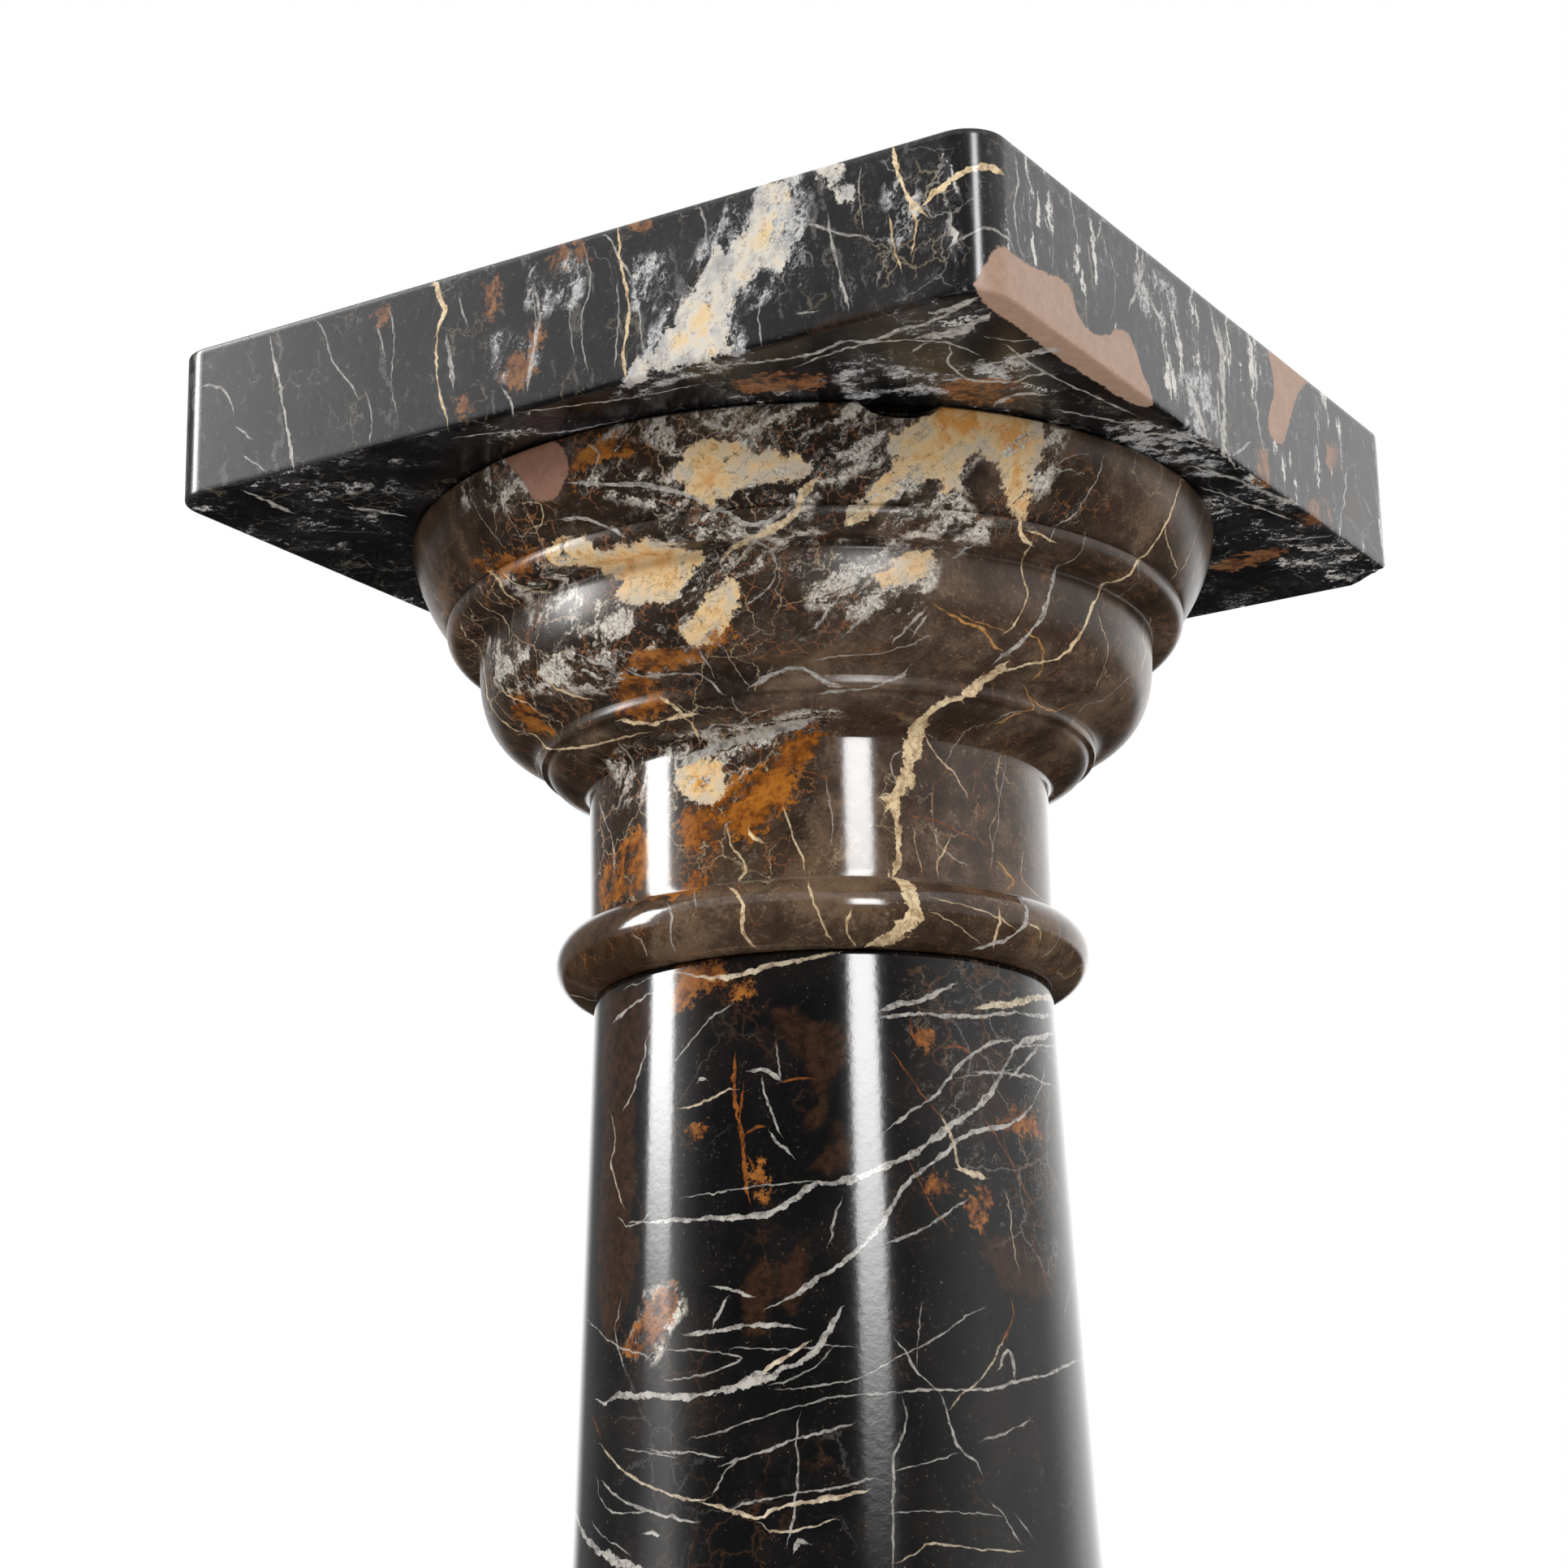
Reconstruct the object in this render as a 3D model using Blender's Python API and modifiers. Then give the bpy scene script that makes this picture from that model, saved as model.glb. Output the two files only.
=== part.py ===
"""Marble pedestal: a square slab on a turned capital, a tapered shaft, a turned base and a plinth.

Each stone stands on the one below it with a thin bed joint. The column's axis is the Z axis and
the plinth's underside lies at z = 0. Sizes are in metres. Each is set once, and the rest follows.
"""

import math

import bmesh
import bpy
from mathutils import Matrix, Vector

COLLECTION = "marble_pedestal"
CUTTERS = "marble_pedestal_cutters"

# Bed joint between one stone and the next
BED_JOINT = 0.0003

# Shaft: a straight taper whose two edges are just broken
SHAFT_LENGTH = 0.700
SHAFT_TOP_RADIUS = 0.0747
SHAFT_FOOT_RADIUS = 0.1050
SHAFT_ARRIS = 0.0010

# Capital, from the shaft up: heights of its mouldings
RING_HEIGHT = 0.0221
NECK_HEIGHT = 0.0490
ROLL_HEIGHT = 0.0068
FILLET_HEIGHT = 0.0042
COVE_HEIGHT = 0.0036
BELL_HEIGHT = 0.0326
BEAD_HEIGHT = 0.0075
QUIRK_HEIGHT = 0.0012
RIM_HEIGHT = 0.0279

# Capital: how far each moulding stands out from the one below it
NECK_STEP = 0.0012
RING_PROJECTION = 0.0113
ROLL_STEP = 0.0139
FILLET_STEP = 0.0021
COVE_STEP = 0.0065
BELL_STEP = 0.0140
BEAD_SOFFIT = 0.0036
BEAD_STEP = 0.0074
RIM_STEP = 0.0115
QUIRK_DEPTH = 0.0014
NECK_COVE = 0.0030
RIM_ARRIS = 0.0008

# Capital: fullness of each quarter round (2 is a plain ellipse) and the share of the quarter used
RIM_FULLNESS, RIM_SWEEP = 1.6, 0.63
BELL_FULLNESS, BELL_SWEEP = 2.8, 0.82
ROLL_FULLNESS, ROLL_SWEEP = 2.0, 0.80
FILLET_BULGE = 0.10
BEAD_BULGE = 0.20

# Slab on top, set down a little off the column's axis
SLAB_THICKNESS = 0.0508
SLAB_OVERHANG = 0.0151
SLAB_SHIFT = (0.0035, -0.0085)
SLAB_CORNER_RADIUS = 0.0120
SLAB_ARRIS = 0.0012

# Base moulding, from the shaft down
BASE_FILLET_HEIGHT = 0.0080
BASE_FILLET_STEP = 0.0040
BASE_RING_HEIGHT = 0.0220
BASE_RING_PROJECTION = 0.0100
BASE_COVE_HEIGHT = 0.0080
BASE_COVE_DEPTH = 0.0030
BASE_TORUS_HEIGHT = 0.0440
BASE_TORUS_PROJECTION = 0.0290

# Plinth
PLINTH_HEIGHT = 0.0600
PLINTH_MARGIN = 0.0220
PLINTH_CORNER_RADIUS = 0.0120
PLINTH_ARRIS = 0.0012

# Chip out of the capital's rim: place round the axis, and its half width, depth and height
RIM_CHIP_BEARING = math.radians(-47.5)
RIM_CHIP_SIZE = (0.0090, 0.0125, 0.0052)

# Chip under one corner of the slab: half sizes, and how far its centre lies inside both faces
CORNER_CHIP_SIZE = (0.0105, 0.0090, 0.0034)
CORNER_CHIP_INSET = (0.0040, 0.0020)

# Faces round a turned stone, and steps along its mouldings
TURN_STEPS = 60
SHARP_ANGLE = math.radians(30)
CORNER_SEGMENTS = 5
CHIP_SEGMENTS = 14
MERGE_DISTANCE = 0.000001

# Colours of the stones in linear light, with the roughness of their polish
SLAB_FINISH = ("slab_marble", (0.032, 0.031, 0.033, 1.0), 0.16)
CAPITAL_FINISH = ("capital_marble", (0.052, 0.038, 0.030, 1.0), 0.14)
SHAFT_FINISH = ("shaft_marble", (0.014, 0.013, 0.014, 1.0), 0.12)
BASE_FINISH = ("base_marble", (0.020, 0.018, 0.018, 1.0), 0.16)
PLINTH_FINISH = ("plinth_marble", (0.022, 0.021, 0.022, 1.0), 0.18)


def clear_scene():
    """Remove what the file opened with."""
    for obj in list(bpy.data.objects):
        bpy.data.objects.remove(obj, do_unlink=True)


def new_collection(name):
    """A collection of this name in the scene."""
    collection = bpy.data.collections.new(name)
    bpy.context.scene.collection.children.link(collection)
    return collection


def polished_stone(finish):
    """A Principled material of the stone's own colour and polish."""
    name, colour, roughness = finish
    material = bpy.data.materials.new(name)
    material.use_nodes = True
    shader = material.node_tree.nodes["Principled BSDF"]
    shader.inputs["Base Color"].default_value = colour
    shader.inputs["Roughness"].default_value = roughness
    shader.inputs["Metallic"].default_value = 0.0
    material.diffuse_color = colour
    return material


def add_object(name, mesh, collection, finish=None):
    """An object for the mesh, in the collection, with its stone."""
    obj = bpy.data.objects.new(name, mesh)
    collection.objects.link(obj)
    if finish is not None:
        mesh.materials.append(polished_stone(finish))
    return obj


def quarter_round(top, foot, fullness, sweep, steps):
    """Points of a quarter round that hangs upright at its top and turns in towards its foot.

    top and foot are (radius, z). The curve is a superellipse, and sweep is the share of it used.
    """
    power = 2 / fullness
    last = sweep * math.pi / 2
    end_across = math.cos(last) ** power
    end_down = math.sin(last) ** power
    points = []
    for step in range(steps + 1):
        angle = last * step / steps
        across = (math.cos(angle) ** power - end_across) / (1 - end_across)
        down = math.sin(angle) ** power / end_down
        points.append((foot[0] + (top[0] - foot[0]) * across, top[1] + (foot[1] - top[1]) * down))
    return points


def soft_arc(top, foot, bulge, steps):
    """Points of a shallow arc from top to foot, whose middle stands out by bulge times its chord."""
    chord = Vector((foot[0] - top[0], foot[1] - top[1]))
    outwards = Vector((-chord.y, chord.x)) * bulge
    points = []
    for step in range(steps + 1):
        share = step / steps
        lift = 4 * share * (1 - share)
        points.append((top[0] + chord.x * share + outwards.x * lift, top[1] + chord.y * share + outwards.y * lift))
    return points


def half_round(radius, top_z, height, projection, steps):
    """Points of a ring's section: a half ellipse that stands out from radius, top to bottom."""
    middle = top_z - height / 2
    points = []
    for step in range(steps + 1):
        angle = math.pi * (0.5 - step / steps)
        points.append((radius + projection * math.cos(angle), middle + height / 2 * math.sin(angle)))
    return points


def turned_stone(name, profile, collection, finish):
    """Turn a profile of (radius, z) points, top to bottom, about the Z axis into a closed stone."""
    outline = bpy.data.meshes.new(name + "_profile")
    edges = [(index, index + 1) for index in range(len(profile) - 1)]
    outline.from_pydata([(radius, 0.0, z) for radius, z in profile], edges, [])
    guide = bpy.data.objects.new(name + "_profile", outline)
    collection.objects.link(guide)
    screw = guide.modifiers.new("turn", "SCREW")
    screw.steps = TURN_STEPS
    screw.render_steps = TURN_STEPS
    screw.use_merge_vertices = True
    screw.merge_threshold = MERGE_DISTANCE
    graph = bpy.context.evaluated_depsgraph_get()
    mesh = bpy.data.meshes.new_from_object(guide.evaluated_get(graph))
    bpy.data.objects.remove(guide, do_unlink=True)
    shape = bmesh.new()
    shape.from_mesh(mesh)
    bmesh.ops.remove_doubles(shape, verts=shape.verts, dist=MERGE_DISTANCE)
    shape.to_mesh(mesh)
    shape.free()
    mesh.name = name
    mesh.shade_smooth()
    mesh.set_sharp_from_angle(angle=SHARP_ANGLE)
    return add_object(name, mesh, collection, finish)


def square_stone(name, side, height, corner_radius, arris, centre, collection, finish):
    """A squared block with rounded upright corners and finely broken edges, underside at centre."""
    shape = bmesh.new()
    bmesh.ops.create_cube(shape, size=1.0)
    bmesh.ops.scale(shape, vec=(side, side, height), verts=shape.verts)
    bmesh.ops.translate(shape, vec=(0, 0, height / 2), verts=shape.verts)
    upright = [edge for edge in shape.edges if abs(edge.verts[0].co.z - edge.verts[1].co.z) > height / 2]
    bmesh.ops.bevel(shape, geom=upright, offset=corner_radius, segments=CORNER_SEGMENTS, profile=0.5, affect="EDGES")
    mesh = bpy.data.meshes.new(name)
    shape.to_mesh(mesh)
    shape.free()
    mesh.shade_smooth()
    mesh.set_sharp_from_angle(angle=SHARP_ANGLE)
    obj = add_object(name, mesh, collection, finish)
    obj.location = centre
    bevel = obj.modifiers.new("arris", "BEVEL")
    bevel.width = arris
    bevel.segments = 2
    bevel.limit_method = "ANGLE"
    bevel.angle_limit = SHARP_ANGLE
    return obj


def chip(stone, name, centre, turn, half_sizes, collection):
    """Bite an ellipsoid out of the stone. turn is the angle of its first axis about Z."""
    shape = bmesh.new()
    bmesh.ops.create_uvsphere(shape, u_segments=CHIP_SEGMENTS, v_segments=CHIP_SEGMENTS // 2, radius=1.0)
    spread = Matrix.Diagonal((*half_sizes, 1.0))
    bmesh.ops.transform(shape, matrix=Matrix.Rotation(turn, 4, "Z") @ spread, verts=shape.verts)
    mesh = bpy.data.meshes.new(name)
    shape.to_mesh(mesh)
    shape.free()
    cutter = add_object(name, mesh, collection)
    cutter.location = centre
    cutter.hide_render = True
    cutter.display_type = "WIRE"
    bite = stone.modifiers.new(name, "BOOLEAN")
    bite.operation = "DIFFERENCE"
    bite.solver = "EXACT"
    bite.object = cutter


def base_profile(foot_z, top_z, shaft_radius):
    """Section of the base moulding: fillet, ring, cove and torus, under the shaft."""
    fillet = shaft_radius + BASE_FILLET_STEP
    ring_z = top_z - BASE_FILLET_HEIGHT
    cove_z = ring_z - BASE_RING_HEIGHT
    torus_z = cove_z - BASE_COVE_HEIGHT
    neck = fillet - BASE_COVE_DEPTH
    profile = [(0, top_z), (fillet, top_z), (fillet, ring_z)]
    profile += half_round(fillet, ring_z, BASE_RING_HEIGHT, BASE_RING_PROJECTION, 6)[1:]
    profile += [(neck, (cove_z + torus_z) / 2), (fillet, torus_z)]
    profile += half_round(fillet, torus_z, BASE_TORUS_HEIGHT, BASE_TORUS_PROJECTION, 9)[1:]
    profile.append((0, foot_z))
    return profile


def shaft_profile(foot_z, top_z):
    """Section of the shaft: a straight taper with broken edges."""
    return [
        (0, top_z),
        (SHAFT_TOP_RADIUS - SHAFT_ARRIS, top_z),
        (SHAFT_TOP_RADIUS, top_z - SHAFT_ARRIS),
        (SHAFT_FOOT_RADIUS, foot_z + SHAFT_ARRIS),
        (SHAFT_FOOT_RADIUS - SHAFT_ARRIS, foot_z),
        (0, foot_z),
    ]


def capital_sizes(foot_z):
    """Radius of the neck and of each moulding above it, and the heights where they start."""
    neck = SHAFT_TOP_RADIUS + NECK_STEP
    roll = neck + ROLL_STEP
    fillet = roll + FILLET_STEP
    cove = fillet + COVE_STEP
    bell = cove + BELL_STEP
    soffit = bell + BEAD_SOFFIT
    bead = soffit + BEAD_STEP
    radii = {"neck": neck, "roll": roll, "fillet": fillet, "cove": cove, "bell": bell}
    radii.update({"soffit": soffit, "bead": bead, "rim": bead + RIM_STEP})
    levels = {}
    level = foot_z
    heights = (
        ("ring", RING_HEIGHT),
        ("neck", NECK_HEIGHT),
        ("roll", ROLL_HEIGHT),
        ("fillet", FILLET_HEIGHT),
        ("cove", COVE_HEIGHT),
        ("bell", BELL_HEIGHT),
        ("bead", BEAD_HEIGHT),
        ("quirk", QUIRK_HEIGHT),
        ("rim", RIM_HEIGHT),
    )
    for moulding, height in heights:
        level += height
        levels[moulding] = level
    return radii, levels


def capital_profile(foot_z):
    """Section of the capital: rim, quirk, bead, bell, cove, fillet, roll, neck and ring."""
    radii, top = capital_sizes(foot_z)
    rim_top = (radii["rim"], top["rim"] - RIM_ARRIS)
    rim_foot = (radii["bead"], top["quirk"])
    profile = [(0, top["rim"]), (radii["rim"] - RIM_ARRIS, top["rim"])]
    profile += quarter_round(rim_top, rim_foot, RIM_FULLNESS, RIM_SWEEP, 6)
    profile.append((radii["bead"] - QUIRK_DEPTH, (top["quirk"] + top["bead"]) / 2))
    profile += soft_arc((radii["bead"], top["bead"]), (radii["soffit"], top["bell"]), BEAD_BULGE, 5)
    profile.append((radii["bell"] - QUIRK_DEPTH, top["bell"]))
    bell_top = (radii["bell"], top["bell"] - QUIRK_HEIGHT)
    profile += quarter_round(bell_top, (radii["cove"], top["cove"]), BELL_FULLNESS, BELL_SWEEP, 8)
    profile += soft_arc((radii["fillet"], top["fillet"]), (radii["fillet"], top["roll"]), FILLET_BULGE, 2)
    profile += quarter_round(
        (radii["roll"], top["roll"]), (radii["neck"] + NECK_COVE, top["neck"]), ROLL_FULLNESS, ROLL_SWEEP, 5
    )
    profile.append((radii["neck"], top["neck"] - NECK_COVE))
    profile += half_round(radii["neck"], top["ring"], RING_HEIGHT, RING_PROJECTION, 10)
    profile.append((0, foot_z))
    return profile


def build():
    """Stack the stones from the plinth up and chip the two that are damaged."""
    stones = new_collection(COLLECTION)
    cutters = new_collection(CUTTERS)

    torus_radius = SHAFT_FOOT_RADIUS + BASE_FILLET_STEP + BASE_TORUS_PROJECTION
    plinth_side = 2 * (torus_radius + PLINTH_MARGIN)
    square_stone(
        "plinth", plinth_side, PLINTH_HEIGHT, PLINTH_CORNER_RADIUS, PLINTH_ARRIS, (0, 0, 0), stones, PLINTH_FINISH
    )

    base_z = PLINTH_HEIGHT + BED_JOINT
    base_top = base_z + BASE_TORUS_HEIGHT + BASE_COVE_HEIGHT + BASE_RING_HEIGHT + BASE_FILLET_HEIGHT
    turned_stone("base_moulding", base_profile(base_z, base_top, SHAFT_FOOT_RADIUS), stones, BASE_FINISH)

    shaft_z = base_top + BED_JOINT
    shaft_top = shaft_z + SHAFT_LENGTH
    turned_stone("shaft", shaft_profile(shaft_z, shaft_top), stones, SHAFT_FINISH)

    capital_z = shaft_top + BED_JOINT
    radii, levels = capital_sizes(capital_z)
    capital = turned_stone("capital", capital_profile(capital_z), stones, CAPITAL_FINISH)
    rim_place = Matrix.Rotation(RIM_CHIP_BEARING, 3, "Z") @ Vector((radii["rim"], 0, levels["rim"]))
    chip(capital, "rim_chip", rim_place, RIM_CHIP_BEARING, RIM_CHIP_SIZE, cutters)

    slab_z = levels["rim"] + BED_JOINT
    slab_side = 2 * (radii["rim"] + SLAB_OVERHANG)
    slab = square_stone(
        "top_slab",
        slab_side,
        SLAB_THICKNESS,
        SLAB_CORNER_RADIUS,
        SLAB_ARRIS,
        (*SLAB_SHIFT, slab_z),
        stones,
        SLAB_FINISH,
    )
    corner_x = SLAB_SHIFT[0] + slab_side / 2 - CORNER_CHIP_INSET[0]
    corner_y = SLAB_SHIFT[1] + slab_side / 2 - CORNER_CHIP_INSET[1]
    chip(slab, "corner_chip", (corner_x, corner_y, slab_z), 0.0, CORNER_CHIP_SIZE, cutters)


clear_scene()
build()
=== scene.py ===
"""Looks of the marble pedestal: five polished stones, each with its own veins, in a plain studio.

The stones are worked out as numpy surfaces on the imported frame. The veins and patches that the
photograph shows are strokes and outlines in its 1932 x 1932 pixels. Each is carried along the
camera's lines of sight on to the stone, where its distance in millimetres is stored on the mesh.
The stone's material then turns those distances into calcite, rust and filler with natural edges.
Lengths are in metres unless a name says mm.
"""

import logging
import math
from dataclasses import dataclass
from enum import Enum
from itertools import accumulate

import bpy
import numpy as np
from mathutils import Matrix, Vector
from mathutils.bvhtree import BVHTree


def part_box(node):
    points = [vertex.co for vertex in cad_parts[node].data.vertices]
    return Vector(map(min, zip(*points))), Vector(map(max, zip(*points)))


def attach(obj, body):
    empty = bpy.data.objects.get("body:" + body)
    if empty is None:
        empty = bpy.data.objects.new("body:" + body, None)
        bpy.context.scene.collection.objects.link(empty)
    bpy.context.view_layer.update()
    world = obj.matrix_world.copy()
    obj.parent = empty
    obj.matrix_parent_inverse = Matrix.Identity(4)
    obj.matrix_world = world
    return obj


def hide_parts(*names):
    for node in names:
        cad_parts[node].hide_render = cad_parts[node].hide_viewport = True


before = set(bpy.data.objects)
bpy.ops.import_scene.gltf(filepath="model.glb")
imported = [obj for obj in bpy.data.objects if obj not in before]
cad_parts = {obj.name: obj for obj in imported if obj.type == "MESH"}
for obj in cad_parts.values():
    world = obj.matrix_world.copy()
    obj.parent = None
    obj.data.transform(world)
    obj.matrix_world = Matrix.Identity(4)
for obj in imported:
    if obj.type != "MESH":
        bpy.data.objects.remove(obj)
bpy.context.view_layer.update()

log = logging.getLogger("marble_pedestal")

Socket = bpy.types.NodeSocket
Light = tuple[float, float, float, float]
Value = Socket | float | tuple

MM = 1000.0
PHOTO_PIXELS = 1932
SENSOR_MM = 36.0
SHARP_ANGLE = math.radians(30)
WHITE = (1.0, 1.0, 1.0, 1.0)

# Distances are stored this far from a vein and from an outline. Beyond it a vertex holds FAR_MM.
VEIN_LAYERS = 5
VEIN_REACH_MM = 3.5
AREA_REACH = 0.012
FAR_MM = 60.0

# Pixels between the points of a stroke and of an outline, and how much a drawn stroke shakes.
STROKE_STEP = 6.0
OUTLINE_STEP = 8.0
STROKE_SHAKE = 0.7

# Stone goes from seen to unseen over the last of this cosine, or over these pixels below the picture.
GRAZING = 0.10
FADE_PIXELS = 40

# Colours of a vein's core and of its stained parts, by the place of its mineral.
VEIN_PLACES = (0.0, 0.34, 0.67, 1.0)
VEIN_TONES = ("B4AFA7", "E6CFA6", "C08C48", "8A4F22")
VEIN_SHADES = ("86817C", "C4A27A", "8C5C2E", "5A3016")


class Tone(Enum):
    """Which mineral fills a vein, as its place on the vein colour ramp."""

    WHITE = 0.0
    PALE = 0.17
    CREAM = 0.34
    GOLD = 0.67
    RUST = 1.0


class Patch(Enum):
    """Kinds of area with an outline of their own: the attribute and its channel."""

    CREAM = ("patches_a", 0)
    CLOUD = ("patches_a", 1)
    RUST = ("patches_a", 2)
    FILLER = ("patches_a", 3)
    # Brown areas hold stain, and painted shade at the left ends of the capital's neck and ring.
    BROWN_STAIN_AND_SHADE = ("patches_b", 0)
    BROKEN = ("patches_b", 1)


def linear(hex_colour: str) -> Light:
    """Turn an sRGB hex colour into linear light.

    Args:
        hex_colour: six hex digits, such as "E8DCC4".

    Returns:
        Linear red, green, blue and an alpha of 1.
    """
    levels = np.array([int(hex_colour[index:index + 2], 16) for index in (0, 2, 4)]) / 255
    high = ((levels + 0.055) / 1.055) ** 2.4
    return (*np.where(levels <= 0.04045, levels / 12.92, high).tolist(), 1.0)


@dataclass(frozen=True)
class PhotoView:
    """The photograph's camera, found from the slab's edges and the column's outlines."""

    distance: float = 1.0671
    bearing: float = math.radians(30.797)
    below_slab: float = 0.38025
    turn: float = math.radians(31.4125)
    tilt: float = math.radians(15.6187)
    roll: float = math.radians(-1.2037)
    focal_pixels: float = 4105.2

    def place(self) -> Vector:
        """Where the camera stands, in the part's frame."""
        across, back = math.sin(self.bearing), -math.cos(self.bearing)
        slab_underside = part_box("top_slab")[0][2]
        return Vector((self.distance * across, self.distance * back, slab_underside - self.below_slab))

    def rotation(self) -> Matrix:
        """The camera's rotation: turned about Z, tilted up and rolled about its line of sight."""
        turn = Matrix.Rotation(self.turn, 3, "Z")
        tilt = Matrix.Rotation(math.pi / 2 + self.tilt, 3, "X")
        return turn @ tilt @ Matrix.Rotation(self.roll, 3, "Z")

    def rays(self, pixels: np.ndarray) -> np.ndarray:
        """Directions of the lines of sight through pixels.

        Args:
            pixels: an N x 2 array in the photograph's pixels.

        Returns:
            N unit directions: the pixel's offset from the middle over the focal length, turned by
            the camera's rotation.
        """
        half = PHOTO_PIXELS / 2
        local = np.column_stack([
            (pixels[:, 0] - half) / self.focal_pixels,
            (half - pixels[:, 1]) / self.focal_pixels,
            -np.ones(len(pixels)),
        ])
        world = local @ np.array(self.rotation()).T
        return world / np.linalg.norm(world, axis=1, keepdims=True)

    def project(self, points: np.ndarray) -> np.ndarray:
        """Pixels of points in the part's frame.

        Args:
            points: an N x 3 array.

        Returns:
            An N x 2 array: the camera-space offset over the depth, times the focal length.
        """
        local = (points - np.array(self.place())) @ np.array(self.rotation())
        half = PHOTO_PIXELS / 2
        return np.column_stack([
            half + self.focal_pixels * local[:, 0] / -local[:, 2],
            half - self.focal_pixels * local[:, 1] / -local[:, 2],
        ])

    def add_camera(self) -> bpy.types.Object:
        """Add the camera and make it the scene's."""
        data = bpy.data.cameras.new("photo_camera")
        data.sensor_width = SENSOR_MM
        data.lens = SENSOR_MM * self.focal_pixels / PHOTO_PIXELS
        data.clip_end = 100.0
        camera = bpy.data.objects.new("photo_camera", data)
        camera.matrix_world = Matrix.Translation(self.place()) @ self.rotation().to_4x4()
        bpy.context.scene.collection.objects.link(camera)
        bpy.context.scene.camera = camera
        return camera


@dataclass(frozen=True)
class Vein:
    """A vein's stroke over the photograph, in pixels x, y, x, y and so on, with its width and mineral."""

    name: str
    pixels: tuple[float, ...]
    width_mm: float
    tone: Tone = Tone.WHITE

    def points(self) -> np.ndarray:
        """The stroke's pixels as an N x 2 array."""
        return np.array(self.pixels, float).reshape(-1, 2)


@dataclass(frozen=True)
class Area:
    """An area's outline over the photograph, in pixels x, y, x, y and so on."""

    name: str
    kind: Patch
    outline: tuple[float, ...]

    def points(self) -> np.ndarray:
        """The outline's corners as an N x 2 array."""
        return np.array(self.outline, float).reshape(-1, 2)


@dataclass(frozen=True)
class Wandering:
    """How veins wander where the photograph shows none: steps, turns, widths and minerals."""

    starts: int = 300
    heading_spread: float = 0.6
    drift: float = 0.016
    turn_spread: float = 0.10
    least_steps: int = 14
    most_steps: int = 60
    step: float = 0.0032
    widths_mm: tuple[float, ...] = (0.5, 0.7, 1.0, 1.6, 2.4)
    width_shares: tuple[float, ...] = (0.3, 0.3, 0.2, 0.13, 0.07)
    tones: tuple[Tone, ...] = (Tone.WHITE, Tone.CREAM, Tone.RUST)
    tone_shares: tuple[float, ...] = (0.62, 0.28, 0.10)


def smooth_line(points: np.ndarray, spacing: float) -> np.ndarray:
    """Resample a line of few points as a Catmull-Rom curve.

    Args:
        points: an N x 2 array.
        spacing: distance between the new points.

    Returns:
        Points along the curve: each stretch is the cubic through its two ends whose slope at an
        end is half the step between that end's neighbours.
    """
    padded = np.vstack([2 * points[0] - points[1], points, 2 * points[-1] - points[-2]])
    pieces = []
    for index in range(1, len(padded) - 2):
        before, start, end, after = padded[index - 1:index + 3]
        count = max(2, int(np.linalg.norm(end - start) / spacing) + 1)
        t = np.linspace(0, 1, count, endpoint=False)[:, None]
        pieces.append(0.5 * (
            2 * start + (end - before) * t
            + (2 * before - 5 * start + 4 * end - after) * t ** 2
            + (3 * start - before - 3 * end + after) * t ** 3
        ))
    pieces.append(points[-1:])
    return np.vstack(pieces)


def line_distance(points: np.ndarray, line: np.ndarray) -> tuple[np.ndarray, np.ndarray, np.ndarray]:
    """Distance of points from a line of segments.

    Args:
        points: an N x 3 array.
        line: an M x 3 array.

    Returns:
        The least distance of each point; its gap vector from the line, crossed with the direction
        of the nearest segment; and how far along the line it is nearest, from 0 to 1.
    """
    least = np.full(len(points), np.inf)
    twist = np.zeros((len(points), 3))
    along = np.zeros(len(points))
    last = len(line) - 1
    for index in range(last):
        side = line[index + 1] - line[index]
        length = np.linalg.norm(side)
        if length < 1e-9:
            continue
        offset = points - line[index]
        share = np.clip(offset @ side / length ** 2, 0, 1)
        gap = offset - share[:, None] * side
        distance = np.linalg.norm(gap, axis=1)
        closer = distance < least
        least[closer] = distance[closer]
        twist[closer] = np.cross(side / length, gap[closer])
        along[closer] = (index + share[closer]) / last
    return least, twist, along


def inside_outline(points: np.ndarray, outline: np.ndarray) -> np.ndarray:
    """Whether points in the plane lie inside a closed outline.

    Args:
        points: an N x 2 array.
        outline: an M x 2 array of corners.

    Returns:
        N truth values: an odd number of sides crosses a line drawn to the right of the point.
    """
    inside = np.zeros(len(points), bool)
    for start, end in zip(outline, np.roll(outline, -1, axis=0)):
        if start[1] == end[1]:
            continue
        spans = (start[1] > points[:, 1]) != (end[1] > points[:, 1])
        crossing = start[0] + (points[:, 1] - start[1]) * (end[0] - start[0]) / (end[1] - start[1])
        inside ^= spans & (points[:, 0] < crossing)
    return inside


def quarter_round(top: tuple, foot: tuple, fullness: float, sweep: float, steps: int) -> np.ndarray:
    """Section of a quarter round that hangs upright at its top and turns in towards its foot.

    Args:
        top: (radius, z) of the top.
        foot: (radius, z) of the foot.
        fullness: exponent of the superellipse, 2 for a plain ellipse.
        sweep: share of the quarter that is used.
        steps: number of steps.

    Returns:
        Points (radius, z) with across = cos(a)^(2/fullness) and down = sin(a)^(2/fullness), each
        stretched to run from top to foot.
    """
    power = 2 / fullness
    angle = np.linspace(0, sweep * math.pi / 2, steps + 1)
    across, down = np.cos(angle) ** power, np.sin(angle) ** power
    across = (across - across[-1]) / (1 - across[-1])
    down = down / down[-1]
    return np.column_stack([foot[0] + (top[0] - foot[0]) * across, top[1] + (foot[1] - top[1]) * down])


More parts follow.
